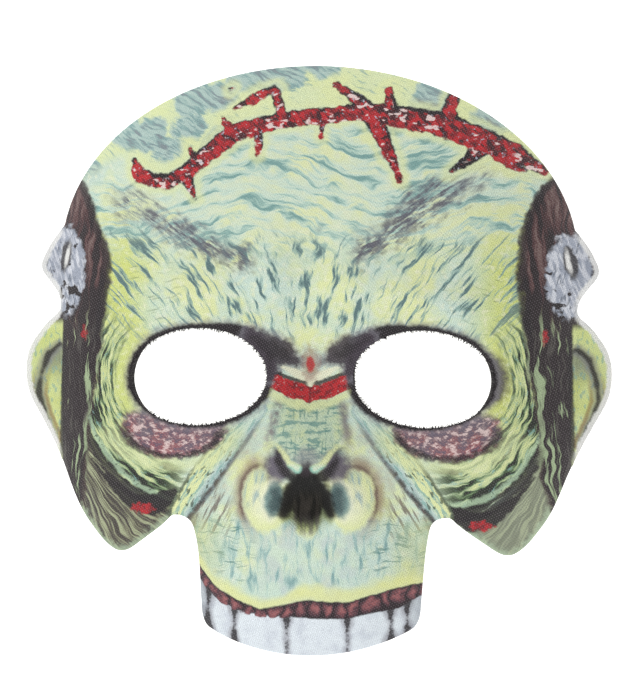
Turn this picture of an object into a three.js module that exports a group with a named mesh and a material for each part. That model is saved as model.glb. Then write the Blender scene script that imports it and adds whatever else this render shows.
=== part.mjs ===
// A moulded half mask with a monster's face, worn over forehead, cheeks and upper jaw, lying face up.
// Millimetres: +X to the right as one looks at the face, +Y to the forehead, +Z out of the face.
// The foam shell rests on the flat undersides of its two ear flanges, at z = 0.
import * as THREE from 'three';

// Overall sizes
const WIDTH = 199.2; // over both ears
const HEIGHT = 199.2; // from the lower edge of the jaw to the top of the forehead
const FACE_WIDTH = 177.2; // between the temple walls, where they run out into the ear flanges
const FACE_DEPTH = 66; // brow above the rest plane

// Walls
const FOAM_WALL = 3;
const CLOTH_WALL = 1;
const BOND_GAP = 0.3; // between cloth and foam

// Forehead dome: an ellipse in the front view, rising from this level
const DOME_LEVEL = 35;
const DOME_TRIM = 0.6; // the edge is cut this far inside the temple walls
const CROWN_REACH = 72; // where the dome's skin would come down to the rest plane, above DOME_LEVEL

// Temples and ear flanges
const EAR_COVE = 4; // width of the cove between wall and flange
const COVE_RISE = 2.6;
const COVE_BLEND = 4;

// Eye holes
const EYE_WIDTH = 47.6;
const EYE_HEIGHT = 32.6;
const EYE_SPACING = 76.4;
const EYE_LEVEL = -6.2;
const EYE_TILT = 0.05; // radians, outer corners low

// Jaw and muzzle
const JAW_WIDTH = 77.2;
const MUZZLE_WIDTH = 90.8; // where the muzzle's curve would come down to the rest plane
const MUZZLE_BLEND = 10; // how softly the muzzle runs into the cheeks
const CHIN_ARC = 71; // radius of the jaw's lower edge
const JAW_CORNER = 0.955; // the jaw's lower corner, as a share of half its width
const JAW_ROUND = 0.05; // where that corner's curve begins, as a share of half the mask's width
const CHIN_START = 0.8; // where the lower edge's plain arc begins, as a share of half the jaw

// Sections: how square and how full the curve from the middle to a wall is
const SQUARENESS = 2.6;
const FACE_FULLNESS = 0.52;
const MUZZLE_FULLNESS = 0.6;
const RELIEF_SQUARENESS = 4; // the relief keeps its height until close to the walls
const LEAST_DOME = 0.05; // keeps the dome's section from closing above its edge

// Relief
const NOSE_RISE = 15.5;
const NOSTRIL_DROP = 11;
const WING_RISE = 5;
const BROW_RISE = 6.5;
const FROWN_RISE = 3;
const BRIDGE_DROP = 8;
const SOCKET_DROP = 8;
const CHEEKBONE_RISE = 4;
const FOLD_RISE = 3.6;
const LID_RISE = 2.4;

// Mesh
const HALF_COLUMNS = 17; // from the middle to a temple wall
const FLANGE_COLUMNS = 4;
const ROWS = 42;
const SNAP_SHARE = 0.3; // grid points nearer to an edge than this share of a cell move onto it
const LEAST_CELL = 1.5; // crowded cells count as this wide when points move onto an edge
const COLUMN_CROWDING = 0.58; // 0 spaces the columns evenly, 1 crowds them most at the walls
const FLANGE_CROWDING = 1.5;
const LEAST_FLANGE = 3; // the columns over a flange reach at least this far
const GRID_MARGIN = 0.4;
const DOME_STEPS = 22;
const CHIN_STEPS = 8;
const CORNER_STEPS = 4;
const EYE_STEPS = 40;
const SLOPE_STEP = 0.05;
const ROUND_OFF = 1e-6;

const halfWidth = WIDTH / 2;
const halfHeight = HEIGHT / 2;
const halfFace = FACE_WIDTH / 2;
const halfJaw = JAW_WIDTH / 2;
const flangeTop = FOAM_WALL + BOND_GAP + CLOTH_WALL;

// Height of the forehead and cheeks along the middle: up as a share of half the height, crown of the depth.
const FACE_CROWN = [
  { up: -1, crown: 0 },
  { up: -0.8, crown: 0.2 },
  { up: -0.65, crown: 0.5 },
  { up: -0.55, crown: 0.66 },
  { up: -0.45, crown: 0.79 },
  { up: -0.35, crown: 0.885 },
  { up: -0.2, crown: 0.95 },
  { up: 0, crown: 0.985 },
  { up: 0.2, crown: 1 },
  { up: 0.35, crown: 0.99 },
  { up: 0.5, crown: 0.945 },
  { up: 0.65, crown: 0.86 },
  { up: 0.8, crown: 0.71 },
  { up: 0.9, crown: 0.56 },
  { up: 1, crown: 0.36 },
];

// Where the cheeks' curve would come down to the rest plane: width as a share of half the face.
const CHEEK_WIDTH = [
  { up: -1, width: 0.8 },
  { up: -0.8, width: 0.82 },
  { up: -0.65, width: 0.855 },
  { up: -0.55, width: 0.91 },
  { up: -0.45, width: 0.955 },
  { up: -0.35, width: 0.983 },
  { up: -0.2, width: 0.997 },
  { up: 0, width: 1 },
  { up: 0.36, width: 1 },
];

// Height of the muzzle along the middle.
const MUZZLE_CROWN = [
  { up: -1, crown: 0.79 },
  { up: -0.9, crown: 0.86 },
  { up: -0.75, crown: 0.925 },
  { up: -0.6, crown: 0.955 },
  { up: -0.45, crown: 0.95 },
  { up: -0.3, crown: 0.88 },
  { up: -0.15, crown: 0.65 },
  { up: 0, crown: 0.3 },
];

// Bumps and dents. Place: across as a share of half the face, up of half the height. Size: along and
// across the bump as shares of half the face. Turn: degrees. A row with across > 0 is on both sides.
const RELIEF = [
  { name: 'nose', across: 0, up: -0.36, along: 0.17, beside: 0.2, turn: 0, rise: NOSE_RISE },
  { name: 'nose_wing', across: 0.16, up: -0.46, along: 0.085, beside: 0.11, turn: 0, rise: WING_RISE },
  { name: 'nostril', across: 0, up: -0.5, along: 0.075, beside: 0.075, turn: 0, rise: -NOSTRIL_DROP },
  { name: 'bridge', across: 0, up: -0.07, along: 0.14, beside: 0.12, turn: 0, rise: -BRIDGE_DROP },
  { name: 'brow', across: 0.42, up: 0.2, along: 0.33, beside: 0.1, turn: -9, rise: BROW_RISE },
  { name: 'frown', across: 0.14, up: 0.27, along: 0.08, beside: 0.17, turn: 0, rise: FROWN_RISE },
  { name: 'socket', across: 0.46, up: -0.06, along: 0.33, beside: 0.22, turn: 0, rise: -SOCKET_DROP },
  { name: 'lower_lid', across: 0.47, up: -0.29, along: 0.26, beside: 0.07, turn: 4, rise: LID_RISE },
  { name: 'cheekbone', across: 0.68, up: -0.34, along: 0.2, beside: 0.13, turn: 25, rise: CHEEKBONE_RISE },
  { name: 'cheek_fold', across: 0.4, up: -0.42, along: 0.27, beside: 0.08, turn: -42, rise: FOLD_RISE },
];

// Corners of the right edge, from the temple down to the jaw. across is a share of half the width, or of
// half the face or jaw where said; up is a share of half the height; round is how far back a corner's
// curve begins, in shares of half the width.
const LUG_AND_EAR = [
  { across: 0.877, up: 0.452, round: 0.02 },
  { across: 0.918, up: 0.395, round: 0.03 },
  { across: 0.96, up: 0.307, round: 0.03 },
  { across: 0.887, up: 0.21, round: 0.03 },
  { across: 0.882, up: 0.16, round: 0.02 },
  { across: 0.925, up: 0.125, round: 0.03 },
  { across: 1, up: 0.025, round: 0.06 },
  { across: 1, up: -0.11, round: 0.06 },
  { across: 0.93, up: -0.23, round: 0.06 },
  { across: 0.862, up: -0.372, round: 0.05 },
];
const LOBE_AND_NOTCH = [
  { across: 0.947, up: -0.425, round: 0.04 },
  { across: 0.9, up: -0.525, round: 0.06 },
  { across: 0.805, up: -0.635, round: 0.05 },
  { across: 0.735, up: -0.67, round: 0.05 },
  { across: 0.56, up: -0.56, round: 0.06 },
];
const JAW_EDGE = [
  { across: 1.21, up: -0.525, round: 0.035 },
  { across: 1.05, up: -0.545, round: 0.03 },
  { across: 1, up: -0.64, round: 0.08 },
];

// Smooth value of a table's column at a level, held level beyond the table's ends.
function along(table, column, up) {
  const last = table.length - 1;
  if (up <= table[0].up) return table[0][column];
  if (up >= table[last].up) return table[last][column];
  const i = table.findIndex((row) => row.up > up) - 1;
  const slope = (k) => {
    const a = table[Math.max(k - 1, 0)];
    const b = table[Math.min(k + 1, last)];
    return (b[column] - a[column]) / (b.up - a.up);
  };
  const from = table[i];
  const to = table[i + 1];
  const step = to.up - from.up;
  const t = (up - from.up) / step;
  const rise = to[column] - from[column];
  const bendFrom = slope(i) * step - rise;
  const bendTo = rise - slope(i + 1) * step;
  return from[column] + rise * t + t * (1 - t) * (bendFrom * (1 - t) + bendTo * t);
}

// The greater of two heights, rounded where they are within `blend` of each other.
function softMax(a, b, blend) {
  const near = Math.max(blend - Math.abs(a - b), 0) / blend;
  return Math.max(a, b) + (near * near * blend) / 4;
}

// Height share of a rounded section at a share of its half width: full in the middle, 0 at the edge.
function section(share, squareness, fullness) {
  return Math.max(1 - Math.abs(share) ** squareness, 0) ** fullness;
}

function wallAt(y) {
  const up = (y - DOME_LEVEL) / CROWN_REACH;
  if (up > 0) return halfFace * Math.sqrt(Math.max(1 - up * up, LEAST_DOME));
  return halfFace * along(CHEEK_WIDTH, 'width', y / halfHeight);
}

function reliefAt(x, y) {
  let sum = 0;
  for (const { across, up, along: length, beside, turn, rise } of RELIEF) {
    const cos = Math.cos(THREE.MathUtils.degToRad(turn));
    const sin = Math.sin(THREE.MathUtils.degToRad(turn));
    for (const side of across > 0 ? [-1, 1] : [1]) {
      const dx = (side * x - across * halfFace) / halfFace;
      const dy = (y - up * halfHeight) / halfFace;
      const a = (dx * cos + dy * sin) / length;
      const b = (dy * cos - dx * sin) / beside;
      sum += rise * Math.exp(-a * a - b * b);
    }
  }
  return sum;
}

// Height of the printed outer face.
function faceHeight(x, y) {
  const wall = wallAt(y);
  const up = y / halfHeight;
  const faceSection = section(x / wall, SQUARENESS, FACE_FULLNESS);
  const face = FACE_DEPTH * along(FACE_CROWN, 'crown', up) * faceSection;
  const muzzleSection = section((2 * x) / MUZZLE_WIDTH, SQUARENESS, MUZZLE_FULLNESS);
  const muzzle = FACE_DEPTH * along(MUZZLE_CROWN, 'crown', up) * muzzleSection;
  const beyondWall = (Math.abs(x) - wall) / EAR_COVE;
  const cove = COVE_RISE * Math.max(1 - Math.max(beyondWall, 0), 0) ** 2;
  const soft = Math.min(MUZZLE_BLEND, 1 + muzzle / 3);
  const body = softMax(face, muzzle, soft) + reliefAt(x, y) * section(x / wall, RELIEF_SQUARENESS, 1);
  return softMax(body, flangeTop + cove, COVE_BLEND);
}

// Unit normal of the outer face.
function faceNormal(x, y) {
  const step = SLOPE_STEP;
  const dx = (faceHeight(x + step, y) - faceHeight(x - step, y)) / (2 * step);
  const dy = (faceHeight(x, y + step) - faceHeight(x, y - step)) / (2 * step);
  return new THREE.Vector3(-dx, -dy, 1).normalize();
}

// Points of a run of straight edges whose corners are rounded by short curves.
function rounded(corners) {
  const points = [corners[0].at];
  for (let i = 1; i < corners.length - 1; i += 1) {
    const { at, round } = corners[i];
    const back = Math.min(round, at.distanceTo(corners[i - 1].at) / 2);
    const on = Math.min(round, at.distanceTo(corners[i + 1].at) / 2);
    const from = at.clone().lerp(corners[i - 1].at, back / at.distanceTo(corners[i - 1].at));
    const to = at.clone().lerp(corners[i + 1].at, on / at.distanceTo(corners[i + 1].at));
    points.push(...new THREE.QuadraticBezierCurve(from, at, to).getPoints(CORNER_STEPS));
  }
  points.push(corners[corners.length - 1].at);
  return points;
}

function cornersOf(rows, half) {
  return rows.map(({ across, up, round }) => ({
    at: new THREE.Vector2(across * half, up * halfHeight),
    round: round * halfWidth,
  }));
}

// The mask's edge in the front view, as a closed loop.
function outline() {
  const domeHalf = halfFace - DOME_TRIM;
  const dome = [];
  const top = (LUG_AND_EAR[0].up * halfHeight - DOME_LEVEL) / (halfHeight - DOME_LEVEL);
  const lowest = Math.asin(top);
  for (let i = 0; i <= DOME_STEPS; i += 1) {
    const angle = Math.PI / 2 + ((lowest - Math.PI / 2) * i) / DOME_STEPS;
    const y = DOME_LEVEL + (halfHeight - DOME_LEVEL) * Math.sin(angle);
    dome.push(new THREE.Vector2(domeHalf * Math.cos(angle), y));
  }
  const side = rounded([
    { at: dome.pop(), round: 0 },
    ...cornersOf(LUG_AND_EAR.slice(1), halfWidth),
    ...cornersOf(LOBE_AND_NOTCH, halfFace),
    ...cornersOf(JAW_EDGE, halfJaw),
    { at: chinPoint(halfJaw * JAW_CORNER), round: JAW_ROUND * halfWidth },
    { at: chinPoint(halfJaw * CHIN_START), round: 0 },
  ]);
  const chin = [];
  for (let i = 1; i <= CHIN_STEPS; i += 1) chin.push(chinPoint(halfJaw * CHIN_START * (1 - i / CHIN_STEPS)));
  const right = [...dome, ...side, ...chin];
  const left = right.slice(1, -1).reverse();
  return [...right, ...left.map((p) => new THREE.Vector2(-p.x, p.y))];
}

// A point of the jaw's lower edge.
function chinPoint(x) {
  return new THREE.Vector2(x, CHIN_ARC - Math.sqrt(CHIN_ARC ** 2 - x ** 2) - halfHeight);
}

// An eye hole's edge in the front view; side is 1 or -1.
function eyeHole(side) {
  return Array.from({ length: EYE_STEPS }, (_, i) => {
    const angle = (2 * Math.PI * i) / EYE_STEPS;
    const x = (EYE_WIDTH / 2) * Math.cos(angle);
    const y = (EYE_HEIGHT / 2) * Math.sin(angle);
    return new THREE.Vector2(
      side * (EYE_SPACING / 2 + x * Math.cos(EYE_TILT) + y * Math.sin(EYE_TILT)),
      EYE_LEVEL + y * Math.cos(EYE_TILT) - x * Math.sin(EYE_TILT),
    );
  });
}

// The loop's point nearest to (x, y), the distance to it, and whether (x, y) is inside the loop.
function nearest(loop, x, y) {
  let best = { distance: Infinity, x, y };
  let inside = false;
  for (let i = 0; i < loop.length; i += 1) {
    const a = loop[i];
    const b = loop[(i + 1) % loop.length];
    const length = (b.x - a.x) ** 2 + (b.y - a.y) ** 2;
    const share = ((x - a.x) * (b.x - a.x) + (y - a.y) * (b.y - a.y)) / length;
    const t = THREE.MathUtils.clamp(share, 0, 1);
    const px = a.x + (b.x - a.x) * t;
    const py = a.y + (b.y - a.y) * t;
    const distance = Math.hypot(x - px, y - py);
    if (distance < best.distance) best = { distance, x: px, y: py };
    if (a.y > y !== b.y > y && x < a.x + ((b.x - a.x) * (y - a.y)) / (b.y - a.y)) inside = !inside;
  }
  return { ...best, inside };
}

const edge = outline();
const eyes = [eyeHole(1), eyeHole(-1)];

// Signed distance to the nearest edge, positive on the mask, and the edge's point.
function material(x, y) {
  const rim = nearest(edge, x, y);
  let best = { inside: rim.inside ? rim.distance : -rim.distance, x: rim.x, y: rim.y };
  for (const eye of eyes) {
    const hole = nearest(eye, x, y);
    const inside = hole.inside ? -hole.distance : hole.distance;
    if (inside < best.inside) best = { inside, x: hole.x, y: hole.y };
  }
  return best;
}

// Across the grid the columns crowd towards the temple walls and go on over the flanges.
function columnX(column, y) {
  const side = Math.sign(column);
  const k = Math.abs(column);
  const wall = wallAt(y);
  if (k > HALF_COLUMNS) {
    const share = ((k - HALF_COLUMNS) / FLANGE_COLUMNS) ** FLANGE_CROWDING;
    return side * (wall + share * Math.max(halfWidth + 1 - wall, LEAST_FLANGE));
  }
  const t = k / HALF_COLUMNS;
  const crowded = Math.sin((t * Math.PI) / 2);
  return side * wall * ((1 - COLUMN_CROWDING) * t + COLUMN_CROWDING * crowded);
}

// The mask's front view as points and triangles, cut clean along its edges.
function flatPattern() {
  const columns = HALF_COLUMNS + FLANGE_COLUMNS;
  const points = [];
  const cell = HEIGHT / ROWS;
  for (let row = 0; row <= ROWS; row += 1) {
    const y = (halfHeight + GRID_MARGIN) * ((2 * row) / ROWS - 1);
    for (let column = -columns; column <= columns; column += 1) {
      const x = columnX(column, y);
      const gap = Math.abs(columnX(Math.abs(column) + 1, y) - Math.abs(x));
      const found = material(x, y);
      const snaps = Math.abs(found.inside) < SNAP_SHARE * Math.min(cell, Math.max(gap, LEAST_CELL));
      points.push(snaps ? { x: found.x, y: found.y, inside: 0 } : { x, y, inside: found.inside });
    }
  }
  const triangles = [];
  const cuts = new Map();
  const cutBetween = (a, b) => {
    const key = a < b ? `${a}_${b}` : `${b}_${a}`;
    if (!cuts.has(key)) {
      const t = points[a].inside / (points[a].inside - points[b].inside);
      const x = points[a].x + (points[b].x - points[a].x) * t;
      const y = points[a].y + (points[b].y - points[a].y) * t;
      const found = material(x, y);
      cuts.set(key, points.length);
      points.push({ x: found.x, y: found.y, inside: 0 });
    }
    return cuts.get(key);
  };
  const addCut = (corners) => {
    const most = Math.max(...corners.map((k) => points[k].inside));
    if (most <= 0) return;
    const kept = [];
    corners.forEach((a, i) => {
      const b = corners[(i + 1) % 3];
      if (points[a].inside >= 0) kept.push(a);
      if (points[a].inside * points[b].inside < 0) kept.push(cutBetween(a, b));
    });
    for (let i = 1; i < kept.length - 1; i += 1) triangles.push([kept[0], kept[i], kept[i + 1]]);
  };
  const across = 2 * columns + 1;
  for (let row = 0; row < ROWS; row += 1) {
    for (let column = 0; column < across - 1; column += 1) {
      const a = row * across + column;
      const [b, c, d] = [a + 1, a + 1 + across, a + across];
      if (column < columns) {
        addCut([a, b, c]);
        addCut([a, c, d]);
      } else {
        addCut([a, b, d]);
        addCut([b, c, d]);
      }
    }
  }
  return { points, triangles };
}

// A closed wall between two depths below the outer face.
function wallGeometry(pattern, outerDepth, innerDepth) {
  const numbers = new Map();
  const used = [...new Set(pattern.triangles.flat())];
  used.forEach((point, i) => numbers.set(point, i));
  const positions = [];
  for (const depth of [outerDepth, innerDepth]) {
    for (const point of used) {
      const { x, y } = pattern.points[point];
      const normal = faceNormal(x, y);
      const z = faceHeight(x, y) - depth * normal.z;
      positions.push(x - depth * normal.x, y - depth * normal.y, Math.abs(z) < ROUND_OFF ? 0 : z);
    }
  }
  const inner = used.length;
  const index = [];
  const directed = new Set();
  for (const triangle of pattern.triangles) {
    const [a, b, c] = triangle.map((point) => numbers.get(point));
    index.push(a, b, c, a + inner, c + inner, b + inner);
    [[a, b], [b, c], [c, a]].forEach(([p, q]) => directed.add(p * inner + q));
  }
  for (const key of directed) {
    const p = Math.floor(key / inner);
    const q = key % inner;
    if (!directed.has(q * inner + p)) index.push(q, p, p + inner, q, p + inner, q + inner);
  }
  const geometry = new THREE.BufferGeometry();
  geometry.setAttribute('position', new THREE.Float32BufferAttribute(positions, 3));
  geometry.setIndex(index);
  geometry.computeVertexNormals();
  return geometry;
}

const pattern = flatPattern();

const whiteFoam = new THREE.MeshStandardMaterial({ color: 0xeceae4, roughness: 0.85, metalness: 0 });
const printedJersey = new THREE.MeshStandardMaterial({ color: 0xd9e3a4, roughness: 0.8, metalness: 0 });

const foamShell = new THREE.Mesh(
  wallGeometry(pattern, CLOTH_WALL + BOND_GAP, CLOTH_WALL + BOND_GAP + FOAM_WALL),
  whiteFoam,
);
foamShell.name = 'foam_shell';

const printedCloth = new THREE.Mesh(wallGeometry(pattern, 0, CLOTH_WALL), printedJersey);
printedCloth.name = 'printed_cloth';

const mask = new THREE.Group();
mask.add(foamShell, printedCloth);

export default mask;
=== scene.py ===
import bpy
from mathutils import Matrix, Vector
import numpy as np


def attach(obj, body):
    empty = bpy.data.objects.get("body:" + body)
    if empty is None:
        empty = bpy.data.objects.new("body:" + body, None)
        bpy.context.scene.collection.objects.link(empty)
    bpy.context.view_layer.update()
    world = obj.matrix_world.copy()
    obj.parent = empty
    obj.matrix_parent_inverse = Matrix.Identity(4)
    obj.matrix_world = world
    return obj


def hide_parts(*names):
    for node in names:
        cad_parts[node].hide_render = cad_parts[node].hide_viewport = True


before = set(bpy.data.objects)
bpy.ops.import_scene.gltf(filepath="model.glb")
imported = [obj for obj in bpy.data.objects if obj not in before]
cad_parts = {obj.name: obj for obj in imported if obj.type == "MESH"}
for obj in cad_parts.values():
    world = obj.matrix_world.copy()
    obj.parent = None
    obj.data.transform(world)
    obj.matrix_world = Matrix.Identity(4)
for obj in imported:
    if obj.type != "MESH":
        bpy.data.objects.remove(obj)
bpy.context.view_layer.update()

# A moulded half mask with a monster's face, lying face up. Every size below is in millimetres, +X to the
# right as one looks at the face, +Y to the forehead, +Z out of the face. METRE turns them into metres.
METRE = 0.001

# Overall sizes, the same as the solids'
WIDTH = 199.2
HEIGHT = 199.2
FACE_WIDTH = 177.2
FACE_DEPTH = 66
HALF_WIDTH = WIDTH / 2
HALF_HEIGHT = HEIGHT / 2
HALF_FACE = FACE_WIDTH / 2
HALF_JAW = 77.2 / 2

# Walls
CLOTH_WALL = 1.0
FOAM_WALL = 3.0
BOND_GAP = 0.3
FLANGE_TOP = CLOTH_WALL + FOAM_WALL + BOND_GAP
CUT_ROUNDING = 0.22  # how far the cloth's cut edge is worn down
FOAM_CLEARANCE = 0.02  # between the cloth's back and the foam, so that neither shows through

# Forehead dome, temples, muzzle and jaw
DOME_LEVEL = 35
DOME_TRIM = 0.6
CROWN_REACH = 72
EAR_COVE = 4
COVE_RISE = 2.6
COVE_BLEND = 4
MUZZLE_WIDTH = 90.8
MUZZLE_BLEND = 10
CHIN_ARC = 71

# Eye holes
EYE_HALF = np.array([23.8, 16.3])
EYE_PLACE = np.array([38.2, -6.2])
EYE_TILT = 0.05

# Fine mesh
CLOTH_CELL = 0.86
FOAM_CELL = 1.7
SLOPE_SHARE = 1.25  # columns for each plan width, as the sides are steep
CROWDING = 0.58  # how much closer the columns stand at the sides
FLANGE_REACH = 13
SNAP = 0.3  # points nearer to an edge than this share of a cell move onto it
PATTERN_MARGIN = 0.4  # how far the grid reaches over the highest and lowest edge

# The jersey's loops, and the level where its print passes from one material to the other
LOOP_WIDTH = 0.86
LOOP_HEIGHT = 0.72
PRINT_SPLIT = -2.0

# The cut threads round the eye holes: how far below the face they start, and how much they stand up
FRAY_DEPTH = 0.5
FRAY_LIFT = 0.35
FRAY = {"Count": 700, "Length": 1.3 * METRE, "Radius": 0.16 * METRE, "Seed": 7}

# The studio, in metres
FLOOR_SIZE = 3.0
FLOOR_DROP = 0.0002
DAYLIGHT = 0.45
SOFT_BOXES = [
    ("overhead_soft_box", (0, 0.2, 1.6), 0.9, 8),
    ("left_soft_box", (-1.1, 0.8, 1.0), 0.6, 6),
    ("front_soft_box", (0.1, -1.3, 0.9), 0.8, 7),
]
LIGHT_TARGET = (0, 0, 0.03)
CAMERA_TARGET = (0.0017, 0.0033, 0.03)
CAMERA_DISTANCE = 4.5
CAMERA_LEAN = np.radians(3)
CAMERA_ROLL = np.radians(0.7)
SEEN_HEIGHT = 0.2366
SENSOR_HEIGHT = 24  # mm

FACE_CROWN = {
    "up": [-1, -0.8, -0.65, -0.55, -0.45, -0.35, -0.2, 0, 0.2, 0.35, 0.5, 0.65, 0.8, 0.9, 1],
    "crown": [0, 0.2, 0.5, 0.66, 0.79, 0.885, 0.95, 0.985, 1, 0.99, 0.945, 0.86, 0.71, 0.56, 0.36],
}
CHEEK_WIDTH = {
    "up": [-1, -0.8, -0.65, -0.55, -0.45, -0.35, -0.2, 0, 0.36],
    "width": [0.8, 0.82, 0.855, 0.91, 0.955, 0.983, 0.997, 1, 1],
}
MUZZLE_CROWN = {
    "up": [-1, -0.9, -0.75, -0.6, -0.45, -0.3, -0.15, 0],
    "crown": [0.79, 0.86, 0.925, 0.955, 0.95, 0.88, 0.65, 0.3],
}
# Bumps and dents: across and along the face, length, breadth, turn in degrees, rise
RELIEF = [
    ("nose", 0, -0.36, 0.17, 0.2, 0, 15.5),
    ("nose_wing", 0.16, -0.46, 0.085, 0.11, 0, 5),
    ("nostril", 0, -0.5, 0.075, 0.075, 0, -11),
    ("bridge", 0, -0.07, 0.14, 0.12, 0, -8),
    ("brow", 0.42, 0.2, 0.33, 0.1, -9, 6.5),
    ("frown", 0.14, 0.27, 0.08, 0.17, 0, 3),
    ("socket", 0.46, -0.06, 0.33, 0.22, 0, -8),
    ("lower_lid", 0.47, -0.29, 0.26, 0.07, 4, 2.4),
    ("cheekbone", 0.68, -0.34, 0.2, 0.13, 25, 4),
    ("cheek_fold", 0.4, -0.42, 0.27, 0.08, -42, 3.6),
]
# Corners of the right edge: across, up, and where the rounding begins, as shares
LUG_AND_EAR = [
    (0.877, 0.452, 0.02), (0.918, 0.395, 0.03), (0.96, 0.307, 0.03), (0.887, 0.21, 0.03),
    (0.882, 0.16, 0.02), (0.925, 0.125, 0.03), (1, 0.025, 0.06), (1, -0.11, 0.06),
    (0.93, -0.23, 0.06), (0.862, -0.372, 0.05),
]
LOBE_AND_NOTCH = [
    (0.947, -0.425, 0.04), (0.9, -0.525, 0.06), (0.805, -0.635, 0.05), (0.735, -0.67, 0.05),
    (0.56, -0.56, 0.06),
]
JAW_EDGE = [(1.21, -0.525, 0.035), (1.05, -0.545, 0.03), (1, -0.64, 0.08)]


def along(table, column, up):
    """Smooth value of a table's column at a level, held level beyond the table's ends."""
    levels, values = np.array(table["up"], float), np.array(table[column], float)
    last = len(levels) - 1
    before, after = np.maximum(np.arange(last + 1) - 1, 0), np.minimum(np.arange(last + 1) + 1, last)
    slopes = (values[after] - values[before]) / (levels[after] - levels[before])
    i = np.clip(np.searchsorted(levels, up, side="right") - 1, 0, last - 1)
    step, rise = levels[i + 1] - levels[i], values[i + 1] - values[i]
    t = np.clip((up - levels[i]) / step, 0, 1)
    bend = (slopes[i] * step - rise) * (1 - t) + (rise - slopes[i + 1] * step) * t
    return values[i] + rise * t + t * (1 - t) * bend


def soft_max(a, b, blend):
    near = np.maximum(blend - np.abs(a - b), 0) / blend
    return np.maximum(a, b) + near * near * blend / 4


def smooth(value, low, high):
    """0 below low, 1 above high, an S curve between."""
    t = np.clip((value - low) / (high - low), 0, 1)
    return t * t * (3 - 2 * t)


def section(share, squareness, fullness):
    return np.maximum(1 - np.abs(share) ** squareness, 0) ** fullness


def wall_at(y):
    up = (y - DOME_LEVEL) / CROWN_REACH
    dome = np.sqrt(np.maximum(1 - up * up, 0.05))
    return HALF_FACE * np.where(up > 0, dome, along(CHEEK_WIDTH, "width", y / HALF_HEIGHT))


def relief_at(x, y):
    total = np.zeros_like(x)
    for _, across, up, length, breadth, turn, rise in RELIEF:
        cos, sin = np.cos(np.radians(turn)), np.sin(np.radians(turn))
        for side in ((-1, 1) if across > 0 else (1,)):
            dx = (side * x - across * HALF_FACE) / HALF_FACE
            dy = (y - up * HALF_HEIGHT) / HALF_FACE
            a, b = (dx * cos + dy * sin) / length, (dy * cos - dx * sin) / breadth
            total += rise * np.exp(-a * a - b * b)
    return total


def face_height(x, y):
    """Height of the printed outer face."""
    wall, up = wall_at(y), y / HALF_HEIGHT
    face = FACE_DEPTH * along(FACE_CROWN, "crown", up) * section(x / wall, 2.6, 0.52)
    muzzle = FACE_DEPTH * along(MUZZLE_CROWN, "crown", up) * section(2 * x / MUZZLE_WIDTH, 2.6, 0.6)
    cove = COVE_RISE * np.maximum(1 - np.maximum((np.abs(x) - wall) / EAR_COVE, 0), 0) ** 2
    soft = np.minimum(MUZZLE_BLEND, 1 + muzzle / 3)
    body = soft_max(face, muzzle, soft) + relief_at(x, y) * section(x / wall, 4, 1)
    return soft_max(body, FLANGE_TOP + cove, COVE_BLEND)


def face_normal(x, y):
    step = 0.05
    dx = (face_height(x + step, y) - face_height(x - step, y)) / (2 * step)
    dy = (face_height(x, y + step) - face_height(x, y - step)) / (2 * step)
    normal = np.stack([-dx, -dy, np.ones_like(dx)], -1)
    return normal / np.linalg.norm(normal, axis=-1, keepdims=True)


def chin_level(x):
    return CHIN_ARC - np.sqrt(CHIN_ARC**2 - x**2) - HALF_HEIGHT


def rounded(corners):
    """Points of a run of straight edges whose corners are rounded by short curves."""
    points = [corners[0][0]]
    for before, (at, back), after in zip(corners, corners[1:], corners[2:]):
        ends = []
        for other in (before[0], after[0]):
            length = np.linalg.norm(other - at)
            ends.append(at + (other - at) * min(back, length / 2) / length)
        for t in np.linspace(0, 1, 8):
            points.append((1 - t) ** 2 * ends[0] + 2 * t * (1 - t) * at + t * t * ends[1])
    return points + [corners[-1][0]]


def outline():
    """The mask's edge in the front view, as a closed loop."""
    def corners(rows, half):
        return [(np.array([a * half, u * HALF_HEIGHT]), r * HALF_WIDTH) for a, u, r in rows]

    reach = HALF_HEIGHT - DOME_LEVEL
    lowest = np.arcsin((LUG_AND_EAR[0][1] * HALF_HEIGHT - DOME_LEVEL) / reach)
    angles = np.linspace(np.pi / 2, lowest, 61)
    dome = [np.array([(HALF_FACE - DOME_TRIM) * np.cos(a), DOME_LEVEL + reach * np.sin(a)]) for a in angles]
    jaw_ends = [HALF_JAW * 0.955, HALF_JAW * 0.8]
    side = rounded(
        [(dome.pop(), 0)]
        + corners(LUG_AND_EAR[1:], HALF_WIDTH)
        + corners(LOBE_AND_NOTCH, HALF_FACE)
        + corners(JAW_EDGE, HALF_JAW)
        + [(np.array([x, chin_level(x)]), 0.05 * HALF_WIDTH) for x in jaw_ends]
    )
    chin = [np.array([x, chin_level(x)]) for x in np.linspace(jaw_ends[1], 0, 25)[1:]]
    right = np.array(dome + side + chin)
    return np.concatenate([right, right[-2:0:-1] * [-1, 1]])


def eye_loop(side):
    angle = np.linspace(0, 2 * np.pi, 120, endpoint=False)
    x, y = EYE_HALF[:, None] * [np.cos(angle), np.sin(angle)]
    cos, sin = np.cos(EYE_TILT), np.sin(EYE_TILT)
    return np.stack([side * (EYE_PLACE[0] + x * cos + y * sin), EYE_PLACE[1] + y * cos - x * sin], -1)


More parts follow.
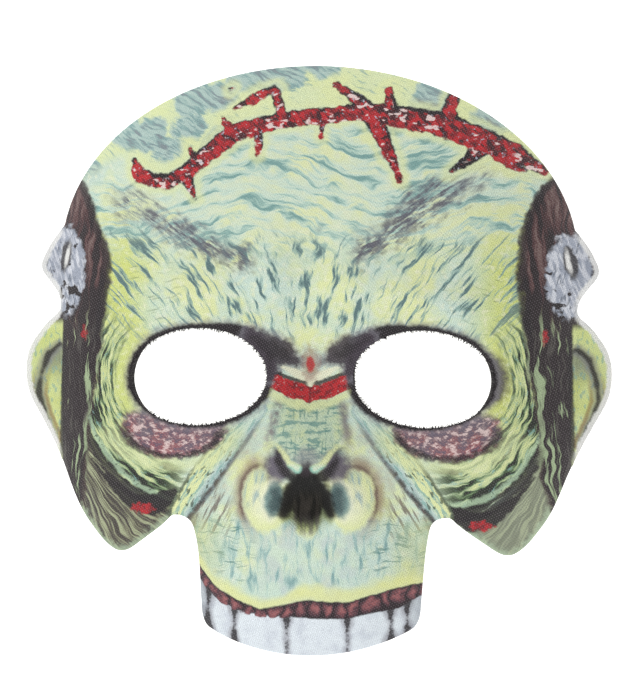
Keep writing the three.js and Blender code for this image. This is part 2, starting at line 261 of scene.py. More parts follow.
def to_segments(x, y, starts, ends):
    """Distance to the nearest of some segments, the point there, the side (left +) and the segment."""
    best = {"distance": np.full(x.shape, np.inf)}
    for key in ("x", "y", "side", "segment", "share"):
        best[key] = np.zeros(x.shape)
    for number, (a, b) in enumerate(zip(starts, ends)):
        run = b - a
        length = max(run @ run, 1e-12)
        share = np.clip(((x - a[0]) * run[0] + (y - a[1]) * run[1]) / length, 0, 1)
        px, py = a[0] + run[0] * share, a[1] + run[1] * share
        distance = np.hypot(x - px, y - py)
        nearer = distance < best["distance"]
        side = np.sign(run[0] * (y - a[1]) - run[1] * (x - a[0]))
        for key, value in (("distance", distance), ("x", px), ("y", py), ("side", side),
                           ("segment", number), ("share", share)):
            best[key] = np.where(nearer, value, best[key])
    return best


def in_loop(x, y, loop):
    inside = np.zeros(x.shape, bool)
    for a, b in zip(loop, np.roll(loop, -1, 0)):
        if a[1] != b[1]:
            crosses = (a[1] > y) != (b[1] > y)
            inside ^= crosses & (x < a[0] + (b[0] - a[0]) * (y - a[1]) / (b[1] - a[1]))
    return inside


def to_loop(x, y, loop):
    """Signed distance to a closed loop, positive inside, and the nearest point on it."""
    near = to_segments(x, y, loop, np.roll(loop, -1, 0))
    return np.where(in_loop(x, y, loop), 1, -1) * near["distance"], near["x"], near["y"]


EDGE = outline()
EYES = [eye_loop(1), eye_loop(-1)]


def material_at(x, y):
    """Signed distance to the nearest edge, positive on the mask, and the edge's point."""
    inside, px, py = to_loop(x, y, EDGE)
    for eye in EYES:
        hole, hx, hy = to_loop(x, y, eye)
        nearer = -hole < inside
        inside, px, py = np.where(nearer, -hole, inside), np.where(nearer, hx, px), np.where(nearer, hy, py)
    return inside, px, py


def cut_pattern(cell):
    """The front view as points (across, up, distance inside) and triangles, cut clean along its edges."""
    half_columns, flange_columns = int(round(SLOPE_SHARE * HALF_FACE / cell)), int(round(FLANGE_REACH / cell))
    rows = int(round(HEIGHT / cell))
    column = np.arange(-half_columns - flange_columns, half_columns + flange_columns + 1)
    y = (HALF_HEIGHT + PATTERN_MARGIN) * np.linspace(-1, 1, rows + 1)[:, None] * np.ones(len(column))
    wall, k = wall_at(y), np.abs(column)[None, :]
    t = np.minimum(k / half_columns, 1)
    inner = wall * ((1 - CROWDING) * t + CROWDING * np.sin(t * np.pi / 2))
    beyond = np.maximum((k - half_columns) / flange_columns, 0)
    x = np.sign(column) * (inner + beyond * np.maximum(HALF_WIDTH + 1 - wall, 3))
    inside, px, py = material_at(x, y)
    snap = np.abs(inside) < SNAP * cell
    x, y, inside = np.where(snap, px, x), np.where(snap, py, y), np.where(snap, 0, inside)

    count = len(column)
    a = (np.arange(rows)[:, None] * count + np.arange(count - 1)).ravel()
    b, c, d = a + 1, a + 1 + count, a + count
    left = np.tile(column[:-1] < 0, rows)
    first = np.where(left[:, None], np.stack([a, b, c], 1), np.stack([a, b, d], 1))
    second = np.where(left[:, None], np.stack([a, c, d], 1), np.stack([b, c, d], 1))
    corners = np.concatenate([first, second])
    level = inside.ravel()[corners]
    whole = (level.min(1) >= 0) & (level.max(1) > 0)
    mixed = (level.min(1) < 0) & (level.max(1) > 0)

    points = np.stack([x.ravel(), y.ravel(), inside.ravel()], 1)
    added, cuts, triangles = [], {}, [corners[whole]]

    def cut_between(p, q):
        key = (min(p, q), max(p, q))
        if key not in cuts:
            share = points[p, 2] / (points[p, 2] - points[q, 2])
            cuts[key] = len(points) + len(added)
            added.append(points[p] + (points[q] - points[p]) * share)
        return cuts[key]

    for triangle in corners[mixed]:
        kept = []
        for p, q in zip(triangle, np.roll(triangle, -1)):
            if points[p, 2] >= 0:
                kept.append(p)
            if points[p, 2] * points[q, 2] < 0:
                kept.append(cut_between(p, q))
        triangles.append([[kept[0], kept[i], kept[i + 1]] for i in range(1, len(kept) - 1)])
    points = np.concatenate([points, np.array(added)])
    triangles = np.concatenate(triangles)
    used, triangles = np.unique(triangles, return_inverse=True)
    points, triangles = points[used], triangles.reshape(-1, 3)
    _, px, py = material_at(points[:, 0], points[:, 1])
    on_edge = points[:, 2] <= 1e-9
    points[on_edge, 0], points[on_edge, 1] = px[on_edge], py[on_edge]
    return points, triangles


def edges_of(triangles):
    """The directed edges that have a face on one side only."""
    directed = np.concatenate([triangles[:, [0, 1]], triangles[:, [1, 2]], triangles[:, [2, 0]]])
    back = {(int(q), int(p)) for p, q in directed}
    return np.array([(p, q) for p, q in directed if (int(p), int(q)) not in back])


def new_mesh(name, vertices, faces):
    """A mesh object at the origin from points in millimetres."""
    mesh = bpy.data.meshes.new(name)
    mesh.vertices.add(len(vertices))
    mesh.vertices.foreach_set("co", (np.asarray(vertices, float) * METRE).ravel())
    mesh.loops.add(3 * len(faces))
    mesh.loops.foreach_set("vertex_index", np.asarray(faces, np.int32).ravel())
    mesh.polygons.add(len(faces))
    mesh.polygons.foreach_set("loop_start", np.arange(0, 3 * len(faces), 3, dtype=np.int32))
    mesh.update(calc_edges=True)
    mesh.shade_smooth()
    piece = bpy.data.objects.new(name, mesh)
    bpy.context.scene.collection.objects.link(piece)
    return piece


def closed_wall(name, pattern, outer, inner, rounding=0.0):
    """A closed wall between two sets of points over one pattern; its cut edges keep a crisp normal."""
    points, triangles = pattern
    count = len(points)
    rim = edges_of(triangles)
    outer = outer.copy()
    if rounding:
        on_rim = np.unique(rim)
        outer[on_rim] -= rounding * face_normal(points[on_rim, 0], points[on_rim, 1])
    sides = np.concatenate([
        np.stack([rim[:, 1], rim[:, 0], rim[:, 0] + count], 1),
        np.stack([rim[:, 1], rim[:, 0] + count, rim[:, 1] + count], 1),
    ])
    faces = np.concatenate([triangles, triangles[:, ::-1] + count, sides])
    piece = new_mesh(name, np.concatenate([outer, inner]), faces)
    sharp = {(min(p, q), max(p, q)) for shift in (0, count) for p, q in (rim + shift)}
    ends = np.empty(2 * len(piece.data.edges), np.int32)
    piece.data.edges.foreach_get("vertices", ends)
    flags = [(min(p, q), max(p, q)) in sharp for p, q in ends.reshape(-1, 2)]
    layer = piece.data.attributes.new("sharp_edge", "BOOLEAN", "EDGE")
    layer.data.foreach_set("value", flags)
    return piece


def at_depth(points, depth):
    """The pattern's points on the moulded face, a depth below it."""
    x, y = points[:, 0], points[:, 1]
    return np.stack([x, y, face_height(x, y)], 1) - depth * face_normal(x, y)


def paint(piece, name, values):
    """Keeps one number a point on the mesh, for the print."""
    values = np.asarray(values, np.float32)
    count = len(piece.data.vertices)
    values = np.tile(values, count // len(values)) if len(values) < count else values
    piece.data.attributes.new(name, "FLOAT", "POINT").data.foreach_set("value", values)


# What the print is drawn from: paths in the front view, and numbers kept at each point of the cloth

# The torn gash across the forehead: across, up, half-width
GASH = [
    (-61.6, 66.5, 1), (-59.8, 62.5, 2), (-54, 59.9, 2.3), (-48.9, 59.7, 2.4), (-44.1, 62.1, 2.6),
    (-39.9, 65.6, 2.6), (-36, 69.2, 2.8), (-31.2, 73.4, 3), (-25.4, 77, 3), (-18, 79, 2.8),
    (-10.9, 80.8, 2.7), (-3, 82, 2.6), (7, 82.8, 2.6), (13, 84, 2.8), (23.7, 83.3, 3.4),
    (37, 81.3, 3.9), (47, 78.6, 4), (57, 74.5, 4.1), (67, 70.5, 3.4), (75.8, 65.3, 1.4),
]
GASH_BRANCHES = [
    [(-40, 66, 2), (-42, 71, 0.6)],
    [(-28, 76, 2), (-31.5, 81.5, 0.6)],
    [(-11, 82, 1.9), (-14.5, 91, 1.7), (-18, 90, 1.5), (-22, 87.5, 1.5), (-28, 84.6, 0.6)],
    [(-29.6, 91.2, 0.8), (-29.4, 89.6, 0.4)],
    [(18, 84.4, 2.8), (13, 88.4, 2.2), (6.4, 93, 0.8)],
    [(25.4, 84, 2.4), (24.2, 91.4, 1.4)],
    [(45, 80, 4), (44.4, 85, 2.4), (46.6, 92, 2.2)],
    [(-43, 61, 2.6), (-39.2, 53.6, 0.4)],
    [(-19.4, 78, 2), (-18.3, 72.5, 1.3), (-18.6, 69.6, 0.4)],
    [(3, 81, 1.4), (2, 75.5, 0.4)],
    [(20, 81, 3.4), (25.7, 69.2, 2), (29.4, 60.6, 0.4)],
    [(56, 72, 3.2), (51, 67.5, 2), (46, 63.8, 0.8)],
    [(62, 71, 3.2), (66, 67, 2.2), (70.2, 65, 1)],
]
# Grey smudges above the brows, not the same on both sides: across, up, half-width
SMUDGES = [
    [(-63, 52, 4), (-44, 42, 3.4), (-23, 33, 1.6)],
    [(54, 61, 3), (34, 50, 4.6), (16, 35, 2)],
]
# What both sides share, on the right half. Strokes: across, up, half-width
FOLD = [(16.8, -17, 2.6), (26, -27.2, 4.2), (36.2, -40.8, 4.4), (44, -51.7, 3.4), (47, -60, 1.6)]
EAR_CURVE = [
    (84, 3, 0.4), (88, 4.5, 0.9), (92, 1, 1.2), (94.5, -6, 1.2),
    (95.3, -13, 1.1), (93, -20, 1), (89, -27.5, 0.4),
]
STROKES = {
    "fold_half": FOLD,
    "ear_curve": EAR_CURVE,
    "dark_hook": [(10, -30.4, 0.2), (9.6, -34, 1.2), (7.4, -37.4, 1.8), (3.6, -40.2, 2.4)],
    "pale_hook": [(10.6, -28.4, 0.4), (7.8, -31.4, 0.8), (5.7, -34.8, 1), (2.9, -36.5, 1.5)],
    "nostril": [(2.4, -39.5, 2.4), (5.4, -46, 3.4), (8, -51.6, 2)],
    "septum": [(0, -38.4, 2.4), (0, -44, 5), (0, -50, 5.6), (0, -56, 3)],
    "inner_corner": [(19.5, 7.2, 3.4), (13.5, 3.6, 5), (8.5, 1.4, 4.2), (4.5, -0.6, 1.4)],
    "nose_corner": [(13.4, 2, 4), (13.4, -5.6, 2)],
    "vee": [(9.4, -2.4, 0.3), (4.6, -4.7, 1.3), (0, -7.4, 1.7)],
}
# Ovals: centre, half-sizes, turn in degrees
OVALS = {
    "bag": ((46, -23), (17.5, 10.5)),
    "nose_wing": ((14.8, -47.6), (7.8, 11.5), -8),
    "nostril_glow": ((11, -47.2), (3.3, 5.6), 8),
    "drop": ((0, -1.5), (1.5, 3)),
    "lug": ((85.5, 29), (7.5, 14.5)),
    "lug_hollow": ((85.6, 34), (2.2, 5.4), 12),
    "lug_core": ((85, 34), (0.8, 3.8), 12),
}
# The dark wedge that ends the cheek's band; the right one lies lower
WEDGE = [
    (75, -34.5, 0.2), (68, -42.5, 1.3), (61, -48.4, 2.6), (54, -49.8, 3.4), (48.4, -47, 2.8), (45.6, -44.8, 1),
]
RIGHT_DROP = 4.5
TEMPLE_EDGE = {"up": [-62, -52, -42, -30, -20, -10, 0, 10, 20, 30, 41, 50, 58, 64, 70],
               "across": [88, 81, 77.5, 76.5, 76, 74, 72.5, 71.5, 70, 69, 69.5, 71.5, 75.5, 80, 86]}
GUM_TOP = {"across": [-38.6, -31.8, -23.3, -16.2, -8.3, -0.5, 7.3, 13.8, 20.2, 30.1, 36.9],
           "up": [-69, -76.8, -81.3, -84, -82.6, -80.6, -81.3, -81.3, -79.2, -76.2, -74.8]}
GUM_FOOT = {"across": [-38.6, -31.8, -23.3, -16.2, -5.6, 0.9, 12.4, 20.2, 30.1, 36.9],
            "up": [-73.4, -80.6, -84.7, -86, -86.4, -87, -87, -85.3, -83.3, -79.2]}
TOOTH_GAPS = [-34.5, -25, -7, 13.4, 27.7, 32.8]
# The rings round the eye hole widen by this, across and up; the right one is drawn in a little
RING_STEP = (17.2, 27.7)
RIGHT_RING = 0.12
LEFT_TEMPLE = 3.6  # how much further out the left temple's dark starts
CORNER_SHADOW = 4.6  # reach of the right hole's shadow at its outer corner
# Dark border of the eye hole: degrees from the inner corner over the top, and its width
EYE_BORDER = {"degrees": [0, 45, 75, 110, 140, 170, 200, 230, 270, 310, 340, 360],
              "width": [3, 4.5, 2, 1.5, 1.8, 0.8, 0.6, 0.8, 1, 1.6, 2.2, 3]}


def stroke(x, y, path, scale=1.0, drop=0.0):
    """Distance outside a stroke of changing half-width, negative on it."""
    path = np.array(path, float)
    points = path[:, :2] - [0, drop]
    near = to_segments(x, y, points[:-1], points[1:])
    half_width = np.interp(near["segment"] + near["share"], np.arange(len(path)), path[:, 2])
    return near["distance"] - scale * half_width


def beside(x, y, path):
    """Signed offset from a path, left of its run positive, and the length along it."""
    points = np.array(path, float)[:, :2]
    near = to_segments(x, y, points[:-1], points[1:])
    lengths = np.concatenate([[0], np.cumsum(np.hypot(*np.diff(points, axis=0).T))])
    run = np.interp(near["segment"] + near["share"], np.arange(len(points)), lengths)
    return near["side"] * near["distance"], run


def oval(x, y, centre, half, turn=0.0):
    """Rough distance outside an ellipse, negative inside."""
    cos, sin = np.cos(np.radians(turn)), np.sin(np.radians(turn))
    dx, dy = x - centre[0], y - centre[1]
    a, b = (dx * cos + dy * sin) / half[0], (dy * cos - dx * sin) / half[1]
    return (np.hypot(a, b) - 1) * min(half)


def about_eye(s, y):
    """How far out of the eye hole a point lies, in widening ellipses, and its turn from straight below."""
    dx, dy = s - EYE_PLACE[0], y - EYE_PLACE[1]
    low, high = np.full(s.shape, -0.9), np.full(s.shape, 9.0)
    for _ in range(30):
        middle = (low + high) / 2
        half_wide, half_high = EYE_HALF[0] + RING_STEP[0] * middle, EYE_HALF[1] + RING_STEP[1] * middle
        outside = (dx / half_wide) ** 2 + (dy / half_high) ** 2 > 1
        low, high = np.where(outside, middle, low), np.where(outside, high, middle)
    return low, np.degrees(np.arctan2(dx, -dy))


def print_fields(x, y, inside):
    """Every number that the print needs at the cloth's points."""
    s = np.abs(x)
    ring, turn = about_eye(s, y)
    ring *= 1 - RIGHT_RING * (x > 0) * smooth(turn, 0, 30) * (1 - smooth(turn, 75, 110))
    gash_level = np.interp(x, [p[0] for p in GASH], [p[1] for p in GASH])
    gash_level += 0.5 * np.minimum(x + 64, 0) - 0.5 * np.maximum(x - 76, 0)
    fold, fold_run = beside(s, y, FOLD)
    border = np.interp((270 - turn) % 360, EYE_BORDER["degrees"], EYE_BORDER["width"])
    hole = -to_loop(s, y, EYES[0])[0]
    outer_corner = smooth(turn, 55, 85) * (1 - smooth(turn, 95, 135))
    temple = np.interp(y, TEMPLE_EDGE["up"], TEMPLE_EDGE["across"]) + LEFT_TEMPLE * (x < 0) * smooth(y, 32, 48)
    fields = {
        "above_gash": y - gash_level,
        "gash": np.minimum.reduce([stroke(x, y, p) for p in [GASH] + GASH_BRANCHES]),
        "gash_core": np.minimum(stroke(x, y, GASH, 0.8, 0.7),
                                np.minimum.reduce([stroke(x, y, p, 0.45, 0.3) for p in GASH_BRANCHES])),
        "smudge": np.minimum(stroke(x, y, SMUDGES[0]), stroke(x, y, SMUDGES[1])),
        "temple": s - temple,
        "ring": ring,
        "turn": turn,
        "outer_side": smooth(turn, 0, 22) * (1 - smooth(turn, 105, 135)),
        "band_side": smooth(turn, 2, 18) * (1 - smooth(turn, 85, 105)),
        "hole": hole,
        "border": hole - border,
        "shadow": hole - CORNER_SHADOW * (x > 0) * outer_corner,
        "fold": fold,
        "fold_run": fold_run,
        "bar_top": y - (-9.2 + 4.2 * s / 12.4),
        "bar_foot": y - np.interp(s, [0, 2.5, 7, 12.4], [-14.8, -13.4, -13, -10]),
        "gum_top": y - np.interp(x, GUM_TOP["across"], GUM_TOP["up"]),
        "gum_foot": y - np.interp(x, GUM_FOOT["across"], GUM_FOOT["up"]),
        "tooth_gap": np.min([np.abs(x - gap) for gap in TOOTH_GAPS], 0),
        "lobe_fan": np.degrees(np.arctan2(s - 84, -(y + 24))),
        "lobe_reach": np.hypot(s - 84, y + 24),
        "wedge": stroke(s, y + RIGHT_DROP * (x > 0), WEDGE),
        "ear_ward": beside(s, y, EAR_CURVE)[0],
        "rim": inside,
        "drip": x / (0.72 + 0.28 * np.clip((y - 5) / 40, 0, 1.4)) - 0.45 * y * np.tanh(x / 40),
        # How steep the face is, which sets the painted shade on its sides
        "steep": 1 - face_normal(x, y)[:, 2],
    }
    fields.update({name: stroke(s, y, path) for name, path in STROKES.items()})
    fields.update({name: oval(s, y, *shape) for name, shape in OVALS.items()})
    fields["nostril"] = np.minimum(fields["nostril"], fields.pop("septum"))
    fields["inner_corner"] = np.minimum(fields["inner_corner"], fields.pop("nose_corner")) + 0.9 * (x > 0)
    return fields


# How a material's nodes are written: a Shade is a number or colour inside it

class Shade:
    def __init__(self, press, socket):
        self.press, self.socket = press, socket

    def __add__(self, other):
        return self.press.math("ADD", self, other)

    def __radd__(self, other):
        return self.press.math("ADD", other, self)

    def __sub__(self, other):
        return self.press.math("SUBTRACT", self, other)

    def __rsub__(self, other):
        return self.press.math("SUBTRACT", other, self)

    def __mul__(self, other):
        return self.press.math("MULTIPLY", self, other)

    def __rmul__(self, other):
        return self.press.math("MULTIPLY", other, self)

    def __truediv__(self, other):
        return self.press.math("DIVIDE", self, other)

    def __abs__(self):
        return self.press.math("ABSOLUTE", self)


class Press:
    """One material's nodes, with the tools that lay inks over each other. Lengths are in millimetres."""

    def __init__(self, name):
        self.material = bpy.data.materials.new(name)
        self.material.use_nodes = True
        self.nodes, self.links = self.material.node_tree.nodes, self.material.node_tree.links
        self.skin = None
        self.nodes.clear()
        place = self.add("ShaderNodeTexCoord").outputs["Object"]
        apart = self.add("ShaderNodeSeparateXYZ")
        self.links.new(place, apart.inputs[0])
        self.x, self.y, self.z = (Shade(self, socket) * 1000 for socket in apart.outputs)

    def add(self, kind, **settings):
        node = self.nodes.new(kind)
        for key, value in settings.items():
            setattr(node, key, value)
        return node

    def feed(self, socket, value):
        if isinstance(value, Shade):
            self.links.new(value.socket, socket)
        else:
            socket.default_value = ink(value) if isinstance(value, str) else value

    def math(self, operation, *values):
        node = self.add("ShaderNodeMath", operation=operation)
        for socket, value in zip(node.inputs, values):
            self.feed(socket, value)
        return Shade(self, node.outputs[0])

    def most(self, a, b):
        return self.math("MAXIMUM", a, b)

    def kept(self, name):
        """A number kept at the mesh's points."""
        return Shade(self, self.add("ShaderNodeAttribute", attribute_name=name).outputs["Fac"])

    def above(self, value, level, soft):
        """0 where a value is under a level, 1 over it."""
        node = self.add("ShaderNodeMapRange", interpolation_type="SMOOTHSTEP")
        self.feed(node.inputs["Value"], value)
        self.feed(node.inputs["From Min"], level - soft)
        self.feed(node.inputs["From Max"], level + soft)
        return Shade(self, node.outputs["Result"])

    def below(self, value, level, soft):
        return 1 - self.above(value, level, soft)

    def between(self, value, low, high, soft):
        return self.above(value, low, soft) * self.below(value, high, soft)

    def point(self, x, y, z):
        node = self.add("ShaderNodeCombineXYZ")
        for socket, value in zip(node.inputs, (x, y, z)):
            self.feed(socket, value)
        return Shade(self, node.outputs[0])

    def clouds(self, x, y, size, seed, detail=2.0, rough=0.5):
        """Soft noise about 0, most of it within a half, with patches of about a size."""
        node = self.add("ShaderNodeTexNoise", noise_dimensions="3D")
        self.feed(node.inputs["Vector"], self.point(x, y, seed * 10))
        self.feed(node.inputs["Scale"], 1 / size)
        self.feed(node.inputs["Detail"], detail)
        self.feed(node.inputs["Roughness"], rough)
        return (Shade(self, node.outputs["Fac"]) - 0.5) * 2

    def strokes(self, across, along, breadth, length, seed, detail=2.0, rough=0.55):
        """Noise drawn out into strokes of about a breadth and a length."""
        return self.clouds(across / breadth, along / length, 1.0, seed, detail, rough)

    def cells(self, x, y, size, seed):
        """Distance to the nearest of scattered points, about a size apart."""
        node = self.add("ShaderNodeTexVoronoi", feature="F1")
        self.feed(node.inputs["Vector"], self.point(x, y, seed * 10))
        self.feed(node.inputs["Scale"], 1 / size)
        self.feed(node.inputs["Randomness"], 1.0)
        return Shade(self, node.outputs["Distance"]) * size

    def length(self, x, y):
        return self.math("POWER", x * x + y * y, 0.5)

    def comb(self, value, pitch):
        """Distance to the nearest of evenly spaced lines."""
        return abs(self.math("FRACT", value / pitch) - 0.5) * pitch

    def coat(self, under, over, cover):
        """One ink over another where its cover is 1. An ink is a colour, its code or a Shade."""
        node = self.add("ShaderNodeMix", data_type="RGBA")
        self.feed(node.inputs[0], cover)
        self.feed(node.inputs[6], under)
        self.feed(node.inputs[7], over)
        return Shade(self, node.outputs[2])

    def lay(self, over, cover):
        """An ink laid on the skin so far."""
        self.skin = self.coat(self.skin, over, cover)

    def bump(self, height, depth):
        node = self.add("ShaderNodeBump")
        self.feed(node.inputs["Height"], height)
        self.feed(node.inputs["Strength"], 1.0)
        self.feed(node.inputs["Distance"], depth * METRE)
        return Shade(self, node.outputs[0])

    def finish(self, colour, roughness, normal=None, **constants):
        shader = self.add("ShaderNodeBsdfPrincipled")
        self.feed(shader.inputs["Base Color"], colour)
        self.feed(shader.inputs["Roughness"], roughness)
        if normal is not None:
            self.feed(shader.inputs["Normal"], normal)
        for key, value in constants.items():
            shader.inputs[key.replace("_", " ")].default_value = value
        self.links.new(shader.outputs[0], self.add("ShaderNodeOutputMaterial").inputs["Surface"])
        return self.material


def ink(code):
    """A colour from its six-figure code."""
    parts = [int(code[i:i + 2], 16) / 255 for i in (1, 3, 5)]
    return [c / 12.92 if c <= 0.04045 else ((c + 0.055) / 1.055) ** 2.4 for c in parts] + [1.0]


BONE_YELLOW = "#e4ecb0"
PALE_MINT = "#cfe5d8"
CREAM = "#f1f3d6"
GLOW_YELLOW = "#d5de72"
TEAL = "#86b3ac"
DEEP_TEAL = "#4f8580"
MOSS = "#5d7a52"
DARK_MOSS = "#33422f"
GREY_VIOLET = "#85828c"
NEAR_BLACK = "#1f181c"
MAROON = "#563536"
BRICK = "#8a4a4a"
RED = "#c0232b"
DARK_RED = "#6e1a22"
GLINT = "#f0d8d4"
TOOTH = "#e6eef4"
SLATE = "#5b6472"
LILAC = "#b9bfce"
WHITE = "#f4f4f2"


def frayed_edge():
    """Short black fibres standing round both eye holes, spread along them by Geometry Nodes."""
    vertices, inward, edges = [], [], []
    for loop in EYES:
        first = len(vertices)
        face = face_normal(loop[:, 0], loop[:, 1])
        height = face_height(loop[:, 0], loop[:, 1])
        for number, ((x, y), z, normal) in enumerate(zip(loop, height, face)):
            vertices.append(Vector((x, y, z)) * METRE - Vector(normal) * FRAY_DEPTH * METRE)
            to_centre = Vector((loop[:, 0].mean() - x, loop[:, 1].mean() - y, 0)).normalized()
            inward.append(to_centre + Vector(normal) * FRAY_LIFT)
            edges.append((first + number, first + (number + 1) % len(loop)))
    mesh = bpy.data.meshes.new("eye_hole_paths")
    mesh.from_pydata(vertices, edges, [])
    mesh.attributes.new("inward", "FLOAT_VECTOR", "POINT").data.foreach_set("vector", np.array(inward).ravel())
    paths = bpy.data.objects.new("eye_hole_paths", mesh)
    bpy.context.scene.collection.objects.link(paths)

    tree = bpy.data.node_groups.new("frayed_edge", "GeometryNodeTree")
    sockets = {}
    kinds = {"Geometry": "Geometry", "Count": "Int", "Length": "Float", "Radius": "Float", "Seed": "Int"}
    for name, kind in kinds.items():
        socket = tree.interface.new_socket(name, in_out="INPUT", socket_type="NodeSocket" + kind)
        sockets[name] = socket.identifier
    tree.interface.new_socket("Geometry", in_out="OUTPUT", socket_type="NodeSocketGeometry")

    def add(kind, fed, **settings):
        node = tree.nodes.new(kind)
        for key, value in settings.items():
            setattr(node, key, value)
        for key, value in fed.items():
            if isinstance(value, bpy.types.NodeSocket):
                tree.links.new(value, node.inputs[key])
            else:
                node.inputs[key].default_value = value
        return node.outputs

    given = add("NodeGroupInput", {})
    curve = add("GeometryNodeMeshToCurve", {0: given["Geometry"]})
    spread = add("GeometryNodeResampleCurve", {"Curve": curve[0], "Count": given["Count"]})
    shape = {"Vertices": 3, "Radius Bottom": given["Radius"], "Depth": given["Length"]}
    fibre = add("GeometryNodeMeshCone", shape, fill_type="NONE")
    direction = add("GeometryNodeInputNamedAttribute", {"Name": "inward"}, data_type="FLOAT_VECTOR")
    stray = add("FunctionNodeRandomValue", {0: (-0.9, -0.9, -0.5), 1: (0.9, 0.9, 0.7), "Seed": given["Seed"]},
                data_type="FLOAT_VECTOR")
    lean = add("ShaderNodeVectorMath", {0: direction[0], 1: stray[0]}, operation="ADD")
    turned = add("FunctionNodeAlignRotationToVector", {"Vector": lean[0]}, axis="Z")
    size = add("FunctionNodeRandomValue", {2: 0.35, 3: 1.35, "Seed": given["Seed"]}, data_type="FLOAT")
    placed = add("GeometryNodeInstanceOnPoints",
                 {"Points": spread[0], "Instance": fibre[0], "Rotation": turned[0], "Scale": size[1]})
    whole = add("GeometryNodeRealizeInstances", {0: placed[0]})
    p = Press("black_frayed_fibre")
    dark_tone = p.coat("#1a1618", "#3a343a", p.above(p.clouds(p.x, p.y, 1.5, 50), 0, 0.4))
    inked = add("GeometryNodeSetMaterial", {"Geometry": whole[0], "Material": p.finish(dark_tone, 0.9)})
    add("NodeGroupOutput", {0: inked[0]})

    modifier = paths.modifiers.new("frayed_edge", "NODES")
    modifier.node_group = tree
    for name, value in FRAY.items():
        modifier[sockets[name]] = value
    made = bpy.data.meshes.new_from_object(paths.evaluated_get(bpy.context.evaluated_depsgraph_get()))
    made.name = "eye_hole_fray"
    bpy.data.objects.remove(paths)
    fray = bpy.data.objects.new("eye_hole_fray", made)
    bpy.context.scene.collection.objects.link(fray)
    return fray


def foam_skin():
    """White foam with a fine cell, near black along the edges of the eye holes."""
    p = Press("white_foam_skin")
    cell = p.cells(p.x, p.y + p.z * 0.7, 0.8, 60)
    shade = p.coat(WHITE, "#dcdad6", p.above(cell + p.clouds(p.x, p.y, 7, 61) * 0.3, 0.42, 0.2) * 0.6)
    # The foam turns near black within about half a millimetre of the eye holes
    dark_tone = p.below(p.kept("hole") + p.clouds(p.x, p.y, 1.2, 62) * 0.3, 0.45, 0.25)
    return p.finish(p.coat(shade, "#221e20", dark_tone), 0.92, p.bump(cell, 0.25))


# The print, layer on layer. Lengths are in mm, and the numbers in the calls are
# above or below(value, level, softness), between(value, low, high, softness),
# clouds(x, y, size, seed, detail), strokes(across, along, breadth, length, seed, detail)

def ground(p):
    """Bare skin: bone yellow broken with mint, greener by the temples and on the brows, with painted shade on
    the steep sides.
    """
    x, y, s = p.x, p.y, p.s
    patches = p.clouds(x, y, 26, 6) + p.drift * 0.7 + p.shake * 0.3
    p.skin = p.coat(BONE_YELLOW, PALE_MINT, p.above(patches, -0.06, 0.3))
    glow = p.between(s + p.shake * 3, 56, 76, 8) * p.between(y, -32, 50, 10)
    # Painted shade: a grey green laid over the steepest sides of the face, where they turn away from the light
    p.lay("#8c9a84", p.above(p.kept("steep") + p.drift * 0.1, 0.62, 0.3) * 0.4)
    p.lay(GLOW_YELLOW, p.most(glow, p.above(p.drift + p.shake * 0.4, 0.34, 0.25) * 0.45) * 0.85)
    p.lay(CREAM, p.above(p.shake + p.fine * 0.3, 0.2, 0.25) * 0.6)


def forehead(p):
    """Hatched blotches over the gash, wide bent strokes under it, drips and smudges over the brows."""
    x, y, s, drift, shake = p.x, p.y, p.s, p.drift, p.shake
    above, in_face = p.kept("above_gash"), p.below(p.kept("temple"), 0, 2)
    bent_x, bent_y = x * 0.95 + p.clouds(x, y, 9, 47) * 4, y * 1.15 + p.clouds(x, y, 9, 48) * 4
    cell = p.cells(bent_x, bent_y, 14, 1) + shake * 1.6
    hatch = p.strokes(p.y_wavy + x * 0.5, p.x_wavy, 1.3, 6, 7, 2)
    top = p.above(above, 3, 3)
    p.lay("#e0eab0", top * 0.75)
    p.lay("#adc7c4", top * p.below(cell, 7, 0.9) * 0.9)
    p.lay("#80a7a6", top * p.above(hatch - p.above(cell, 6.8, 1.2) * 0.26, 0.02, 0.16) * 0.85)
    p.lay(GREY_VIOLET, top * p.below(cell, 5.6, 1.2) * p.above(hatch + drift * 0.5, 0.14, 0.2) * 0.65)

    level = y + p.math("SINE", x / 14) * 5 + drift * 4
    wave = p.strokes(level, p.x_wavy, 3.1, 24, 8, 1) + p.strokes(level, p.x_wavy, 0.9, 6, 35, 2) * 0.5
    middle = p.above(y, 38, 7) * p.below(above, -3, 3) * in_face
    p.lay("#e3ebc2", middle * 0.45)
    p.lay(PALE_MINT, middle * p.above(wave + drift * 0.4, -0.04, 0.2) * 0.75)
    p.lay("#a8cdc2", middle * p.above(wave, 0.1, 0.16) * 0.75)
    p.lay("#6b9a98", middle * p.above(wave, 0.26, 0.14) * 0.8)

    drip = p.kept("drip") + drift * 3
    runs = p.strokes(drip, y, 2.6, 11, 9, 1) * 1.1 + p.strokes(drip, y, 0.8, 4, 36, 2) * 0.5
    brow = p.between(y, 8, 42, 6) * in_face
    p.lay("#8fb3ac", brow * p.above(runs, 0.15, 0.15) * 0.85)
    p.lay("#4f6c72", brow * p.above(runs + shake * 0.2, 0.31, 0.13) * 0.85)
    ripple = p.strokes(y + s * 0.16 + drift * 2, x, 1.1, 7, 37, 2)
    p.lay(MOSS, p.between(y, 8, 34, 6) * p.above(s, 44, 10) * in_face * p.above(ripple, 0.28, 0.12) * 0.45)
    smudge = p.below(p.kept("smudge") + shake * 4 + drift * 7, 0.5, 4)
    blots = p.strokes(y * 0.83 - s * 0.56, s * 0.83 + y * 0.56, 1.6, 7, 38, 4, 0.65) + drift * 0.3
    p.lay("#93a2a4", smudge * p.above(blots, -0.12, 0.22) * 0.75)
    p.lay("#575160", smudge * p.above(blots + p.below(s, 40, 20) * 0.22, 0.1, 0.18) * 0.85)


